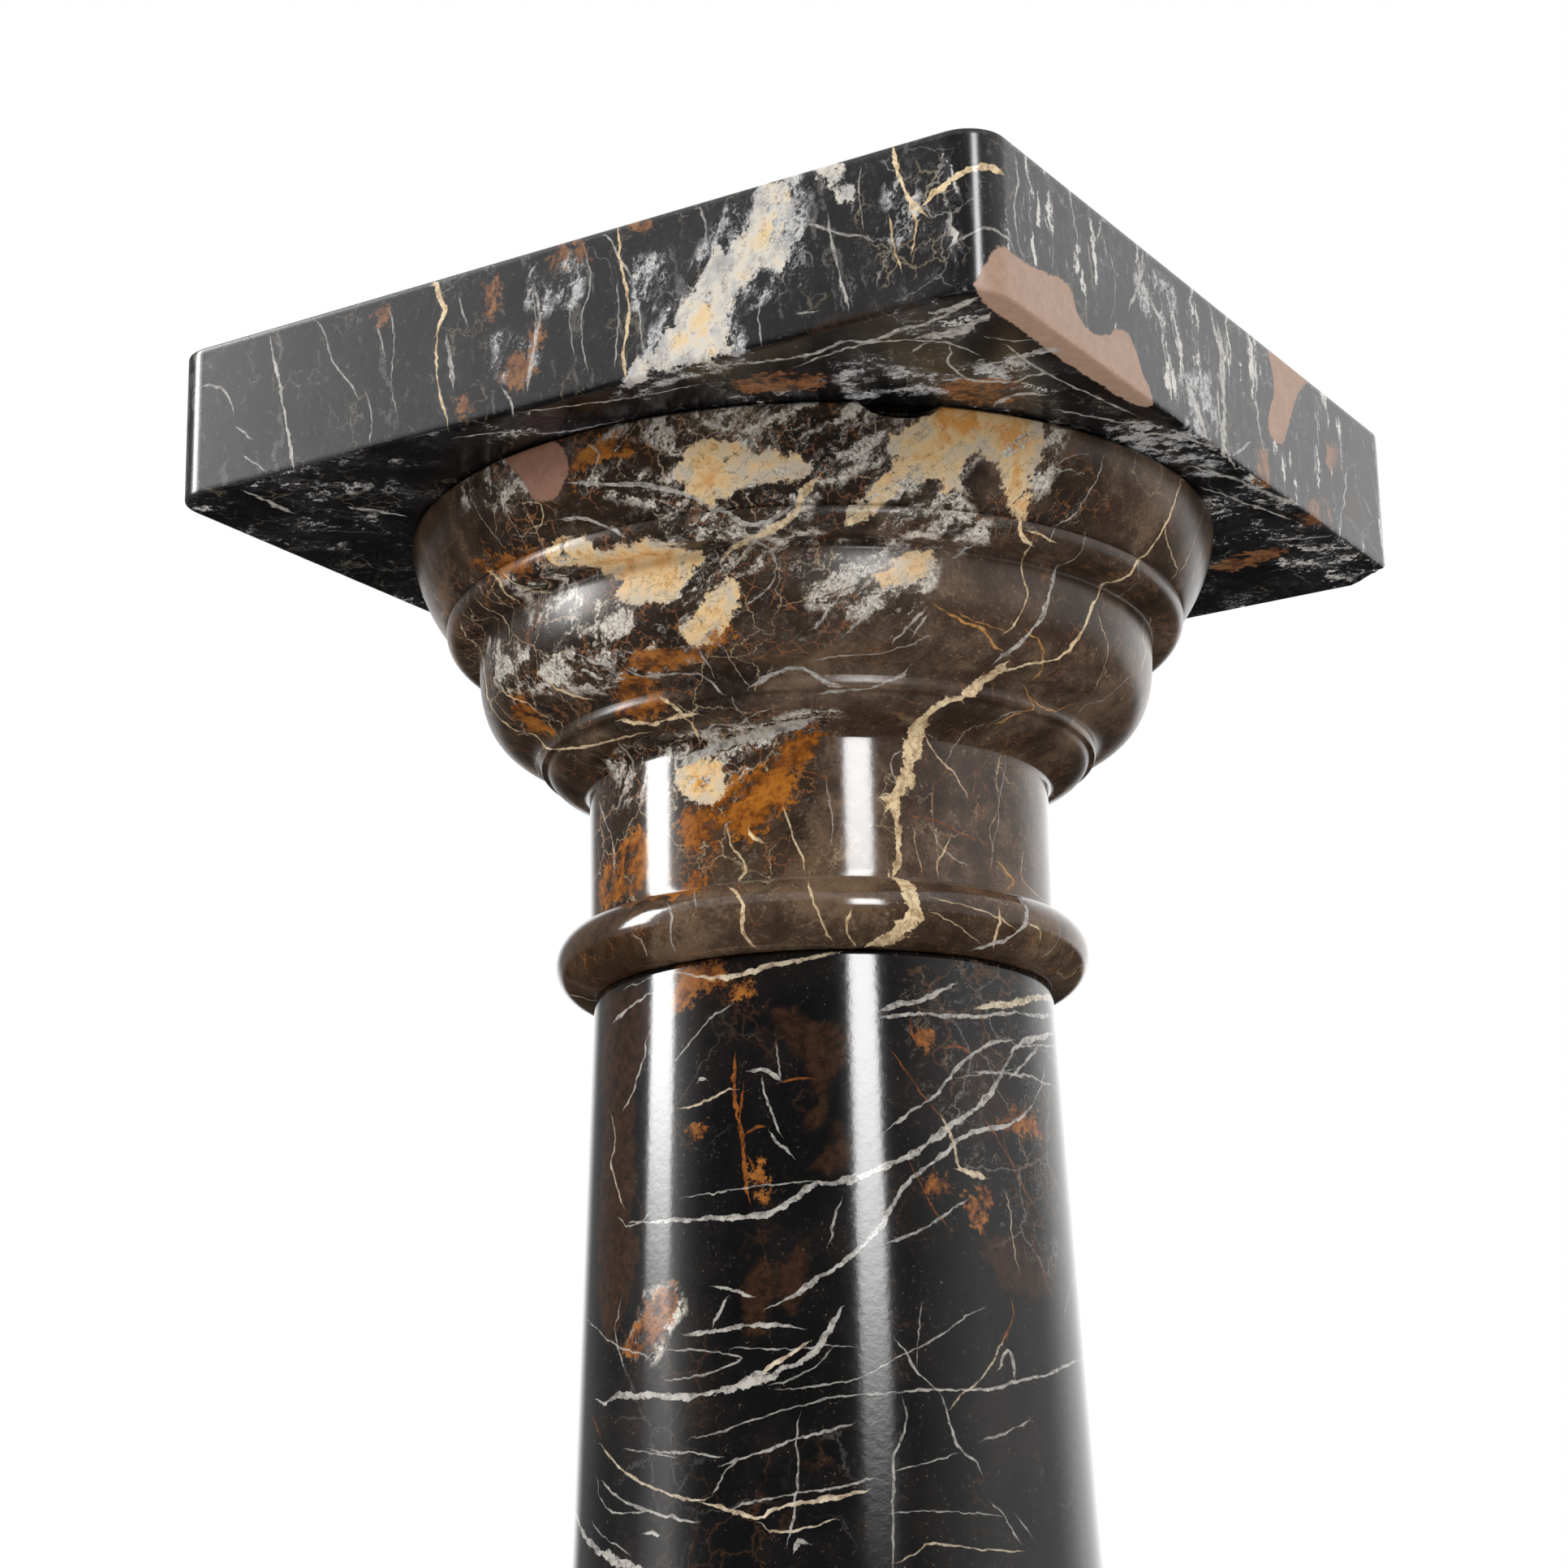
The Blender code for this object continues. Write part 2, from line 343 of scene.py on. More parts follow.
def soft_arc(top: tuple, foot: tuple, bulge: float, steps: int) -> np.ndarray:
    """Section of a shallow arc whose middle stands out by bulge times its chord.

    Args:
        top: (radius, z) of the top.
        foot: (radius, z) of the foot.
        bulge: rise of the middle over the chord.
        steps: number of steps.

    Returns:
        Points (radius, z): the chord plus 4 t (1 - t) times the outward rise.
    """
    chord = np.subtract(foot, top)
    outwards = np.array([-chord[1], chord[0]]) * bulge
    t = np.linspace(0, 1, steps + 1)[:, None]
    return np.array(top) + chord * t + outwards * 4 * t * (1 - t)


def half_round(radius: float, top_z: float, height: float, projection: float, steps: int) -> np.ndarray:
    """Section of a ring: a half ellipse that stands out from radius.

    Args:
        radius: radius of the wall behind it.
        top_z: height of its top.
        height: its height.
        projection: how far it stands out.
        steps: number of steps.

    Returns:
        Points (radius, z) from top to foot.
    """
    angle = np.linspace(math.pi / 2, -math.pi / 2, steps + 1)
    return np.column_stack([
        radius + projection * np.cos(angle),
        top_z - height / 2 + height / 2 * np.sin(angle),
    ])


def soften(section: np.ndarray, reach: float) -> np.ndarray:
    """Round a section's edges and grooves, as polishing by hand does.

    Args:
        section: an N x 2 array of points.
        reach: standard deviation of the rounding along the section.

    Returns:
        N points: each is the mean of the section about it, weighted by a bell curve of its
        distance along the section. Both ends stay.
    """
    steps_per_reach, reaches = 8, 3
    along = np.concatenate([[0], np.cumsum(np.linalg.norm(np.diff(section, axis=0), axis=1))])
    fine = np.arange(0, along[-1], reach / steps_per_reach)
    offsets = np.arange(-reaches * steps_per_reach, reaches * steps_per_reach + 1)
    weights = np.exp(-(offsets / steps_per_reach) ** 2 / 2)
    rounded = np.empty_like(section)
    for axis in (0, 1):
        dense = np.pad(np.interp(fine, along, section[:, axis]), reaches * steps_per_reach, mode="edge")
        smooth = np.convolve(dense, weights / weights.sum(), mode="valid")
        rounded[:, axis] = np.interp(along, fine, smooth)
    rounded[[0, -1]] = section[[0, -1]]
    return rounded


def straight(start: tuple, end: tuple, steps: int) -> np.ndarray:
    """Points of a straight stretch of section, both ends included."""
    return np.linspace(start, end, steps + 1)


@dataclass(frozen=True)
class Chip:
    """A bite out of an edge: an ellipsoid with its first axis turned about Z."""

    centre: tuple[float, float, float]
    bearing: float
    half_sizes: tuple[float, float, float]
    inwards: tuple[float, float, float]
    roughness: float = 0.0004

    def bite(self, vertices: np.ndarray) -> np.ndarray:
        """Push the vertices inside the ellipsoid on to its far side.

        Args:
            vertices: an N x 3 array.

        Returns:
            The vertices, where each inside one is moved along the inward direction d by the
            greater root t of |(p + t d) / half sizes| = 1, less a small ripple.
        """
        turn = np.array(Matrix.Rotation(self.bearing, 3, "Z"))
        local = (vertices - np.array(self.centre)) @ turn / np.array(self.half_sizes)
        inside = (local ** 2).sum(axis=1) < 1
        direction = np.array(self.inwards) / np.array(self.half_sizes)
        a = direction @ direction
        b = local[inside] @ direction
        c = (local[inside] ** 2).sum(axis=1) - 1
        reach = (-b + np.sqrt(b * b - a * c)) / a
        p = vertices[inside] * 1000
        ripple = np.sin(1.9 * p[:, 0] + 1.3 * p[:, 2]) + np.sin(2.3 * p[:, 1] - 1.7 * p[:, 0] + 2.9 * p[:, 2])
        reach = reach - self.roughness * (1 + ripple / 2) * np.minimum(1, reach / 0.001)
        moved = vertices.copy()
        moved[inside] += reach[:, None] * (turn @ np.array(self.inwards))
        return moved


class Recipe:
    """A node tree that is written one node at a time."""

    def __init__(self, tree: bpy.types.NodeTree) -> None:
        """Start on an emptied tree."""
        self.tree = tree
        tree.nodes.clear()

    def add(self, kind: str, settings: dict | None = None, out: int | str = 0, **inputs: Value) -> Socket:
        """Add a node with its settings and links.

        Args:
            kind: the node's type without "ShaderNode".
            settings: properties of the node, by name.
            out: which output to hand back.
            inputs: values or output sockets for its inputs. A key is the input's name with spaces
                as underscores, or i and the input's number.

        Returns:
            The chosen output socket, or the node if it has none.
        """
        node = self.tree.nodes.new("ShaderNode" + kind)
        for name, value in (settings or {}).items():
            setattr(node, name, value)
        for name, value in inputs.items():
            key = int(name[1:]) if name[0] == "i" and name[1:].isdigit() else name.replace("_", " ")
            socket = node.inputs[key]
            if isinstance(value, Socket):
                self.tree.links.new(value, socket)
            else:
                socket.default_value = value
        return node.outputs[out] if len(node.outputs) else node

    def math(self, operation: str, *values: Value) -> Socket:
        """A Math node on one, two or three values."""
        inputs = {f"i{number}": value for number, value in enumerate(values)}
        return self.add("Math", {"operation": operation}, **inputs)

    def vector(self, operation: str, first: Value, second: Value) -> Socket:
        """A VectorMath node on two vectors."""
        return self.add("VectorMath", {"operation": operation}, i0=first, i1=second)

    def scaled(self, vector: Value, amount: float) -> Socket:
        """A vector times a number."""
        return self.add("VectorMath", {"operation": "SCALE"}, i0=vector, Scale=amount)

    def pushed(self, place: Socket, noise: Socket, reach: float) -> Socket:
        """Coordinates pushed about by colour noise, up to half the reach each way."""
        return self.vector("ADD", place, self.scaled(self.vector("SUBTRACT", noise, (0.5, 0.5, 0.5)), reach))

    def stored(self, name: str) -> tuple[Socket, Socket, Socket, Socket]:
        """The four numbers that the mesh stores at each vertex under this name."""
        colour = self.add("Attribute", {"attribute_name": name}, out="Color")
        red, green, blue = self.add("SeparateColor", out="Red", i0=colour).node.outputs[:3]
        return red, green, blue, colour.node.outputs["Alpha"]

    def between(self, value: Socket, low: float, high: float) -> Socket:
        """A smooth step of value from 0 at low to 1 at high, which may lie the other way round."""
        flip = low > high
        limits = {"i1": min(low, high), "i2": max(low, high), "i3": float(flip), "i4": float(not flip)}
        return self.add("MapRange", {"interpolation_type": "SMOOTHSTEP"}, i0=value, **limits)

    def line(self, value: Socket, place: float, width: float) -> Socket:
        """A thin line where value passes place."""
        return self.between(self.math("ABSOLUTE", self.math("SUBTRACT", value, place)), width, width * 0.35)

    def times(self, *values: Value) -> Socket:
        """The product of two or more values."""
        product = values[0]
        for value in values[1:]:
            product = self.math("MULTIPLY", product, value)
        return product

    def over(self, share: Value, under: Value, colour: Value) -> Socket:
        """Lay a colour over another one by its share."""
        return self.add("Mix", {"data_type": "RGBA"}, out=2, i0=share, i6=under, i7=colour)

    def ramp(self, value: Socket, places: tuple[float, ...], colours: list[Light]) -> Socket:
        """A colour that runs through linear colours.

        Args:
            value: where on the ramp to read, from 0 to 1.
            places: place of each colour on the ramp.
            colours: as many linear colours.

        Returns:
            The colour.
        """
        colour = self.add("ValToRGB", Fac=value)
        elements = colour.node.color_ramp.elements
        while len(elements) < len(places):
            elements.new(0.5)
        for element, place, light in zip(elements, places, colours):
            element.position = place
            element.color = light
        return colour

    def tints(self, value: Socket, places: tuple[float, ...], hexes: tuple[str, ...]) -> Socket:
        """A colour that runs through hex colours, each at its place from 0 to 1."""
        return self.ramp(value, places, [linear(tint) for tint in hexes])


@dataclass(frozen=True)
class Grain:
    """The noises that all layers of a marble share, so that their edges agree."""

    place: Socket
    mm: Socket
    broad: Socket
    mid: Socket
    grey: Socket
    warm: Socket
    drift: Socket
    fine: Socket
    crumbs: Socket
    flow: Socket
    strands: Socket


@dataclass(frozen=True)
class Marble:
    """A polished marble, whose ground, mottling and hairlines are worked out in millimetres.

    The ground is fine dark limestone. Calcite fills its cracks and clouds it, iron stains it
    rust, and an old resin fill closes its holes.
    """

    name: str
    grounds: tuple[str, str, str]
    ground_mm: float = 34.0
    hairline_tones: tuple[str, str] = ("B7A080", "8A5A38")
    hairline_mm: float = 17.0
    hairline_amount: float = 0.5
    speckle: str = "9A8468"
    speckle_amount: float = 0.5
    streaks: float = 0.0
    streak_lean: float = 0.0
    streak_tones: tuple[str, str, str] = ("6A6A70", "A29F9A", "DCD7CE")
    busy_x: float = 1.0
    under_z: float = -1.0
    stains: tuple[str, str] = ("21180F", "48311E")
    broken: str = "15100D"
    seam: str = "14100D"
    flow_lean: float = 35.0
    filler: str = "8E6A58"
    filler_dark: str = "7C5A49"
    cream: tuple[str, str, str] = ("C9BBA6", "E2C290", "D6974F")
    cream_pits: str = "7E6A55"
    cream_seams: str = "6A4A2A"
    cloud: tuple[str, str, str] = ("4A4038", "A0968A", "DFD8CC")
    rust: tuple[str, str, str] = ("3A2212", "7A4519", "A86A26")
    gloss: float = 0.085
    satin: float = 0.0
    satin_z: float = 9.0
    honed: float = 0.0
    seed: float = 0.0

    def build(self, top: float) -> bpy.types.Material:
        """Write the material's nodes.

        Args:
            top: height of the stone's top, which is honed where the marble says so.

        Returns:
            The material.
        """
        material = bpy.data.materials.new(self.name)
        material.use_nodes = True
        r = Recipe(material.node_tree)
        g = self.grain(r)
        colour, paste = self.patches(r, g, self.ground(r, g))
        self.surface(r, g, top, self.veins(r, g, colour), paste)
        return material

    def noise(
        self, r: Recipe, mm: Socket, size_mm: float, detail: float, roughness: float, out: int = 0
    ) -> Socket:
        """Fractal noise whose largest grain has this size, as a number or with out=1 as a colour."""
        return r.add("TexNoise", out=out, Vector=mm, Scale=1 / size_mm, Detail=detail, Roughness=roughness)

    def leaning(self, r: Recipe, mm: Socket, lean: float, stretch: tuple[float, float, float]) -> Socket:
        """Coordinates turned to face the photograph, leaned in its plane, then stretched.

        Args:
            r: the material's nodes.
            mm: coordinates in millimetres.
            lean: angle in degrees.
            stretch: a factor for each axis; below 1 the pattern is drawn out along it.

        Returns:
            The new coordinates.
        """
        faced = r.add("VectorRotate", {"rotation_type": "Z_AXIS"}, Vector=mm, Angle=-PhotoView.turn)
        leaned = r.add("VectorRotate", {"rotation_type": "Y_AXIS"}, Vector=faced, Angle=math.radians(lean))
        return r.vector("MULTIPLY", leaned, stretch)

    def grain(self, r: Recipe) -> Grain:
        """Work out the shared noises. Flow and strands are drawn out the way that the calcite flowed.

        Args:
            r: the material's nodes.

        Returns:
            The noises, on coordinates in millimetres.
        """
        place = r.add("TexCoord", out="Object")
        mm = r.vector("ADD", r.scaled(place, MM), (self.seed * 211.0, self.seed * 97.0, 0.0))
        mid = self.noise(r, mm, 7.0, 6, 0.65, out=1)
        grey, warm, drift = r.add("SeparateColor", out="Red", i0=mid).node.outputs[:3]
        along = r.pushed(self.leaning(r, mm, self.flow_lean, (0.30, 1.0, 1.0)), mid, 9.0)
        return Grain(
            place=place, mm=mm, mid=mid, grey=grey, warm=warm, drift=drift,
            broad=self.noise(r, mm, self.ground_mm, 5, 0.6),
            fine=self.noise(r, mm, 1.1, 3, 0.7),
            crumbs=self.noise(r, mm, 3.0, 7, 0.74),
            flow=self.noise(r, along, 7.0, 7, 0.63),
            strands=self.noise(r, along, 3.2, 4, 0.55),
        )

    def ground(self, r: Recipe, g: Grain) -> Socket:
        """Dark limestone: broad tone from cloudy mud, finer mottle and a dust of pale grains.

        Args:
            r: the material's nodes.
            g: the shared noises.

        Returns:
            The ground's colour.
        """
        mixed = r.math("MULTIPLY_ADD", g.grey, 0.45, g.broad)
        mixed = r.math("MULTIPLY_ADD", g.fine, 0.34, mixed)
        colour = r.tints(r.between(mixed, 0.67, 1.12), (0.0, 0.5, 1.0), self.grounds)
        if self.streaks:
            colour = self.bedding(r, g, colour)
        dust = r.times(r.between(g.fine, 0.62, 0.70), r.between(g.grey, 0.45, 0.60), self.speckle_amount)
        return r.over(dust, colour, linear(self.speckle))

    def bedding(self, r: Recipe, g: Grain, colour: Socket) -> Socket:
        """Upright shards and dashes of calcite on the sides, and level ones under the slab.

        Args:
            r: the material's nodes.
            g: the shared noises.
            colour: the colour below.

        Returns:
            The colour with the beds, which crowd beyond busy_x and under the slab.
        """
        across, _, height = r.add("SeparateXYZ", Vector=g.place).node.outputs
        sides = self.leaning(r, r.pushed(g.mm, g.mid, 8.0), self.streak_lean, (1.0, 1.0, 0.15))
        under = self.leaning(r, r.pushed(g.mm, g.mid, 34.0), -14.0, (0.16, 0.42, 1.0))
        below = r.between(height, self.under_z + 0.0008, self.under_z + 0.0002)
        along = r.add("Mix", {"data_type": "VECTOR"}, out=1, i0=below, i4=sides, i5=under)
        dashes = self.noise(r, along, 1.5, 3, 0.6)
        shards = self.noise(r, along, 5.4, 6, 0.64)
        busy = r.add("MapRange", i0=across, i1=self.busy_x - 0.002, i2=self.busy_x, i3=0.10, i4=1.0)
        level = r.times(below, r.between(g.broad, 0.43, 0.55))
        crowd = r.times(r.math("MAXIMUM", busy, level), self.streaks)
        thinned = r.add("MapRange", i0=below, i1=0.0, i2=1.0, i3=1.0, i4=r.between(g.broad, 0.41, 0.53))
        crowd = r.times(crowd, thinned)
        open_beds = r.times(r.between(g.broad, 0.44, 0.60), crowd, r.between(below, 1.0, 0.0))
        haze, dash, shard = (linear(tone) for tone in self.streak_tones)
        colour = r.over(r.times(r.between(shards, 0.50, 0.60), crowd, 0.34), colour, haze)
        colour = r.over(r.times(r.between(dashes, 0.60, 0.67), open_beds, 0.8), colour, dash)
        return r.over(r.times(r.between(shards, 0.598, 0.624), crowd), colour, shard)

    def hairlines(self, r: Recipe, g: Grain, broken: Socket, colour: Socket) -> Socket:
        """Fine healed cracks: edges of warped cells of two sizes, denser in broken stone.

        Args:
            r: the material's nodes.
            g: the shared noises.
            broken: share of broken stone.
            colour: the colour below.

        Returns:
            The colour with the cracks.
        """
        warped = r.pushed(g.mm, g.mid, 9.0)
        crushed = r.times(broken, 0.09)
        amount = r.math("MULTIPLY_ADD", broken, 0.25, self.hairline_amount)
        for size, thin, tone, seed in (
            (self.hairline_mm, 0.0085, self.hairline_tones[0], 0.0),
            (self.hairline_mm * 0.36, 0.024, self.hairline_tones[1], 41.0),
        ):
            moved = r.vector("ADD", warped, (seed, seed, seed))
            edge = r.add("TexVoronoi", {"feature": "DISTANCE_TO_EDGE"}, Vector=moved, Scale=1 / size)
            healed = r.math("ADD", crushed, self.noise(r, moved, size * 2.2, 3, 0.55))
            share = r.times(r.between(edge, thin * 1.8, thin * 0.4), r.between(healed, 0.53, 0.64), amount)
            colour = r.over(share, colour, linear(tone))
        return colour

    def patches(self, r: Recipe, g: Grain, colour: Socket) -> tuple[Socket, Socket]:
        """Areas from the photograph, each with an edge that noise pushes in and out.

        Args:
            r: the material's nodes.
            g: the shared noises.
            colour: the ground.

        Returns:
            The colour with stained and broken ground, painted shade in the stain's colours,
            clouds, rust, cream breccia and fill, from the lowest to the topmost, and the share of
            the fill, which is duller.
        """
        creams, clouds, rusts, fillers = r.stored("patches_a")
        browns, brokens = r.stored("patches_b")[:2]
        ragged = self.noise(r, g.mm, 9.0, 8, 0.68)
        colour, broken = self.stained(r, g, ragged, browns, brokens, colour)
        seams = r.line(g.strands, 0.57, 0.020)
        colour = self.clouded(r, g, ragged, clouds, broken, seams, colour)
        colour = self.rusted(r, g, rusts, seams, colour)
        colour = self.creamed(r, g, ragged, creams, seams, colour)
        paste = r.between(r.math("MULTIPLY_ADD", g.crumbs, -4.0, fillers), -1.5, -2.3)
        resin = r.over(r.between(g.crumbs, 0.3, 0.7), linear(self.filler), linear(self.filler_dark))
        return r.over(paste, colour, resin), paste

    def stained(
        self, r: Recipe, g: Grain, ragged: Socket, browns: Socket, brokens: Socket, colour: Socket
    ) -> tuple[Socket, Socket]:
        """Brown stain, painted shade in its colours, broken stone and the healed cracks that run through
        them.

        Args:
            r: the material's nodes.
            g: the shared noises.
            ragged: noise of torn edges.
            browns: distance from the areas of brown stain and of painted shade.
            brokens: distance from the broken areas.
            colour: the colour below.

        Returns:
            The colour and the share of broken stone.
        """
        # The brown areas are stain, except at the left ends of the capital's neck and ring, where they are
        # painted shade.
        brown = r.between(r.math("MULTIPLY_ADD", g.flow, -18.0, browns), -7.0, -11.0)
        tint = r.tints(g.crumbs, (0.35, 0.65), self.stains)
        colour = r.over(r.times(brown, 0.8), colour, tint)
        broken = r.between(r.math("MULTIPLY_ADD", ragged, -10.0, brokens), -3.5, -6.5)
        colour = r.over(r.times(broken, 0.5), colour, linear(self.broken))
        return self.hairlines(r, g, broken, colour), broken

    def clouded(
        self, r: Recipe, g: Grain, ragged: Socket, clouds: Socket, broken: Socket, seams: Socket,
        colour: Socket,
    ) -> Socket:
        """Clouds of calcite: a haze, paler cores, torn threads and dark seams.

        Args:
            r: the material's nodes.
            g: the shared noises.
            ragged: noise of torn edges.
            clouds: distance from the clouded areas.
            broken: share of broken stone, which has threads and seams as well.
            seams: share of dark seams.
            colour: the colour below.

        Returns:
            The colour with the clouds.
        """
        threads = r.line(g.strands, 0.49, 0.022)
        cloud = r.between(r.math("MULTIPLY_ADD", ragged, -12.0, clouds), -3.0, -7.0)
        torn = r.math("MAXIMUM", cloud, r.times(broken, 0.22))
        haze = r.times(cloud, r.between(g.flow, 0.46, 0.60), 0.55)
        tint = r.tints(r.between(g.crumbs, 0.34, 0.66), (0.0, 0.5, 1.0), self.cloud)
        colour = r.over(haze, colour, tint)
        core = r.times(cloud, r.between(g.flow, 0.515, 0.550), r.between(g.crumbs, 0.36, 0.46))
        pale = r.over(r.between(g.fine, 0.35, 0.6), linear(self.cloud[1]), linear(self.cloud[2]))
        colour = r.over(r.times(core, 0.92), colour, pale)
        colour = r.over(r.times(threads, torn, r.between(ragged, 0.46, 0.56), 0.62), colour, pale)
        return r.over(r.times(seams, torn, 0.75), colour, linear(self.seam))

    def rusted(self, r: Recipe, g: Grain, rusts: Socket, seams: Socket, colour: Socket) -> Socket:
        """Rust: iron stain with a torn edge, darker along its seams.

        Args:
            r: the material's nodes.
            g: the shared noises.
            rusts: distance from the rust areas.
            seams: share of dark seams.
            colour: the colour below.

        Returns:
            The colour with the rust.
        """
        edge = r.between(r.math("MULTIPLY_ADD", g.crumbs, -20.0, rusts), -8.4, -10.4)
        rust = r.times(edge, r.between(g.fine, 0.24, 0.36), r.between(g.flow, 0.40, 0.46))
        shade = r.add("Mix", {"data_type": "FLOAT"}, i0=0.35, i2=g.flow, i3=g.crumbs)
        tint = r.tints(r.between(shade, 0.38, 0.60), (0.0, 0.45, 1.0), self.rust)
        return r.over(rust, colour, r.over(r.times(seams, 0.5), tint, linear(self.rust[0])))

    def creamed(
        self, r: Recipe, g: Grain, ragged: Socket, creams: Socket, seams: Socket, colour: Socket
    ) -> Socket:
        """Cream breccia: islands of calcite, warmer towards the heart, with pits and brown seams.

        Args:
            r: the material's nodes.
            g: the shared noises.
            ragged: noise of torn edges.
            creams: distance from the cream areas.
            seams: share of seams.
            colour: the colour below.

        Returns:
            The colour with the cream.
        """
        tone = r.math("MULTIPLY_ADD", g.warm, 0.55, r.times(ragged, 0.45))
        tone = r.math("MULTIPLY_ADD", r.between(creams, -1.0, -8.0), 0.11, tone)
        body = r.tints(tone, (0.44, 0.54, 0.66), self.cream)
        body = r.over(r.times(r.between(g.crumbs, 0.44, 0.34), 0.55), body, linear(self.cream_pits))
        body = r.over(r.times(seams, 0.55), body, linear(self.cream_seams))
        both = r.add("Mix", {"data_type": "FLOAT"}, i0=0.5, i2=g.crumbs, i3=g.flow)
        cream = r.between(r.math("MULTIPLY_ADD", both, -22.0, creams), -9.8, -11.0)
        islands = r.times(r.between(g.flow, 0.625, 0.60), r.between(g.crumbs, 0.30, 0.35))
        return r.over(r.times(cream, islands), colour, body)

    def veins(self, r: Recipe, g: Grain, colour: Socket) -> Socket:
        """Calcite veins: a core of the vein's mineral with edges that wander like a crack's.

        Args:
            r: the material's nodes.
            g: the shared noises.
            colour: the colour below.

        Returns:
            The colour with every layer of veins.
        """
        centre, small, chipped = (r.math("SUBTRACT", noise, 0.5) for noise in (g.drift, g.fine, g.crumbs))
        swell = r.add("MapRange", i0=g.grey, i1=0.36, i2=0.64, i3=0.28, i4=1.15)
        clear = r.add("MapRange", i0=g.crumbs, i1=0.36, i2=0.60, i3=0.58, i4=1.0)
        for layer in range(VEIN_LAYERS):
            offset, distance, half, mineral = r.stored(f"veins_{layer}")
            strong = r.add("MapRange", i0=half, i1=0.1, i2=0.8, i3=0.62, i4=1.0)
            half = r.times(half, swell)
            wander = r.math("MULTIPLY_ADD", half, 0.8, 0.9)
            edge = r.math("MULTIPLY_ADD", half, 1.7, 0.35)
            moved = r.math("MULTIPLY_ADD", centre, wander, offset)
            moved = r.math("MULTIPLY_ADD", chipped, edge, moved)
            moved = r.math("MULTIPLY_ADD", small, 0.30, moved)
            depth = r.math("SUBTRACT", half, r.math("ABSOLUTE", moved))
            past = r.math("SUBTRACT", distance, half)
            share = r.times(r.between(depth, -0.10, 0.09), r.between(past, 1.7, 1.0), clear, strong)
            share = r.times(share, r.between(g.fine, 0.27, 0.40))
            core, stained = (r.tints(mineral, VEIN_PLACES, tones) for tones in (VEIN_TONES, VEIN_SHADES))
            colour = r.over(share, colour, r.over(r.between(g.crumbs, 0.38, 0.56), stained, core))
        return colour

    def surface(self, r: Recipe, g: Grain, top: float, colour: Socket, paste: Socket) -> None:
        """Polish: a mirror on plain walls, a softer sheen on rubbed mouldings, matt on a honed top.

        Args:
            r: the material's nodes.
            g: the shared noises.
            top: height of the stone's top.
            colour: the finished colour.
            paste: share of the fill, which takes less polish.
        """
        wear = self.noise(r, g.mm, 2.2, 4, 0.6)
        height = r.add("SeparateXYZ", out="Z", Vector=g.place)
        rubbed = r.times(r.between(height, self.satin_z - 0.002, self.satin_z), self.satin)
        matt = r.times(r.between(height, top - 0.0006, top - 0.0001), self.honed)
        rough = r.math("MULTIPLY_ADD", paste, 0.22, self.gloss)
        rough = r.math("ADD", r.math("ADD", rough, rubbed), matt)
        rough = r.math("MULTIPLY_ADD", wear, 0.05, rough)
        bump = r.add("Bump", Height=wear, Distance=0.00004, Strength=0.5)
        shader = r.add("BsdfPrincipled", Base_Color=colour, Roughness=rough, Normal=bump, IOR=1.5)
        r.add("OutputMaterial", Surface=shader)


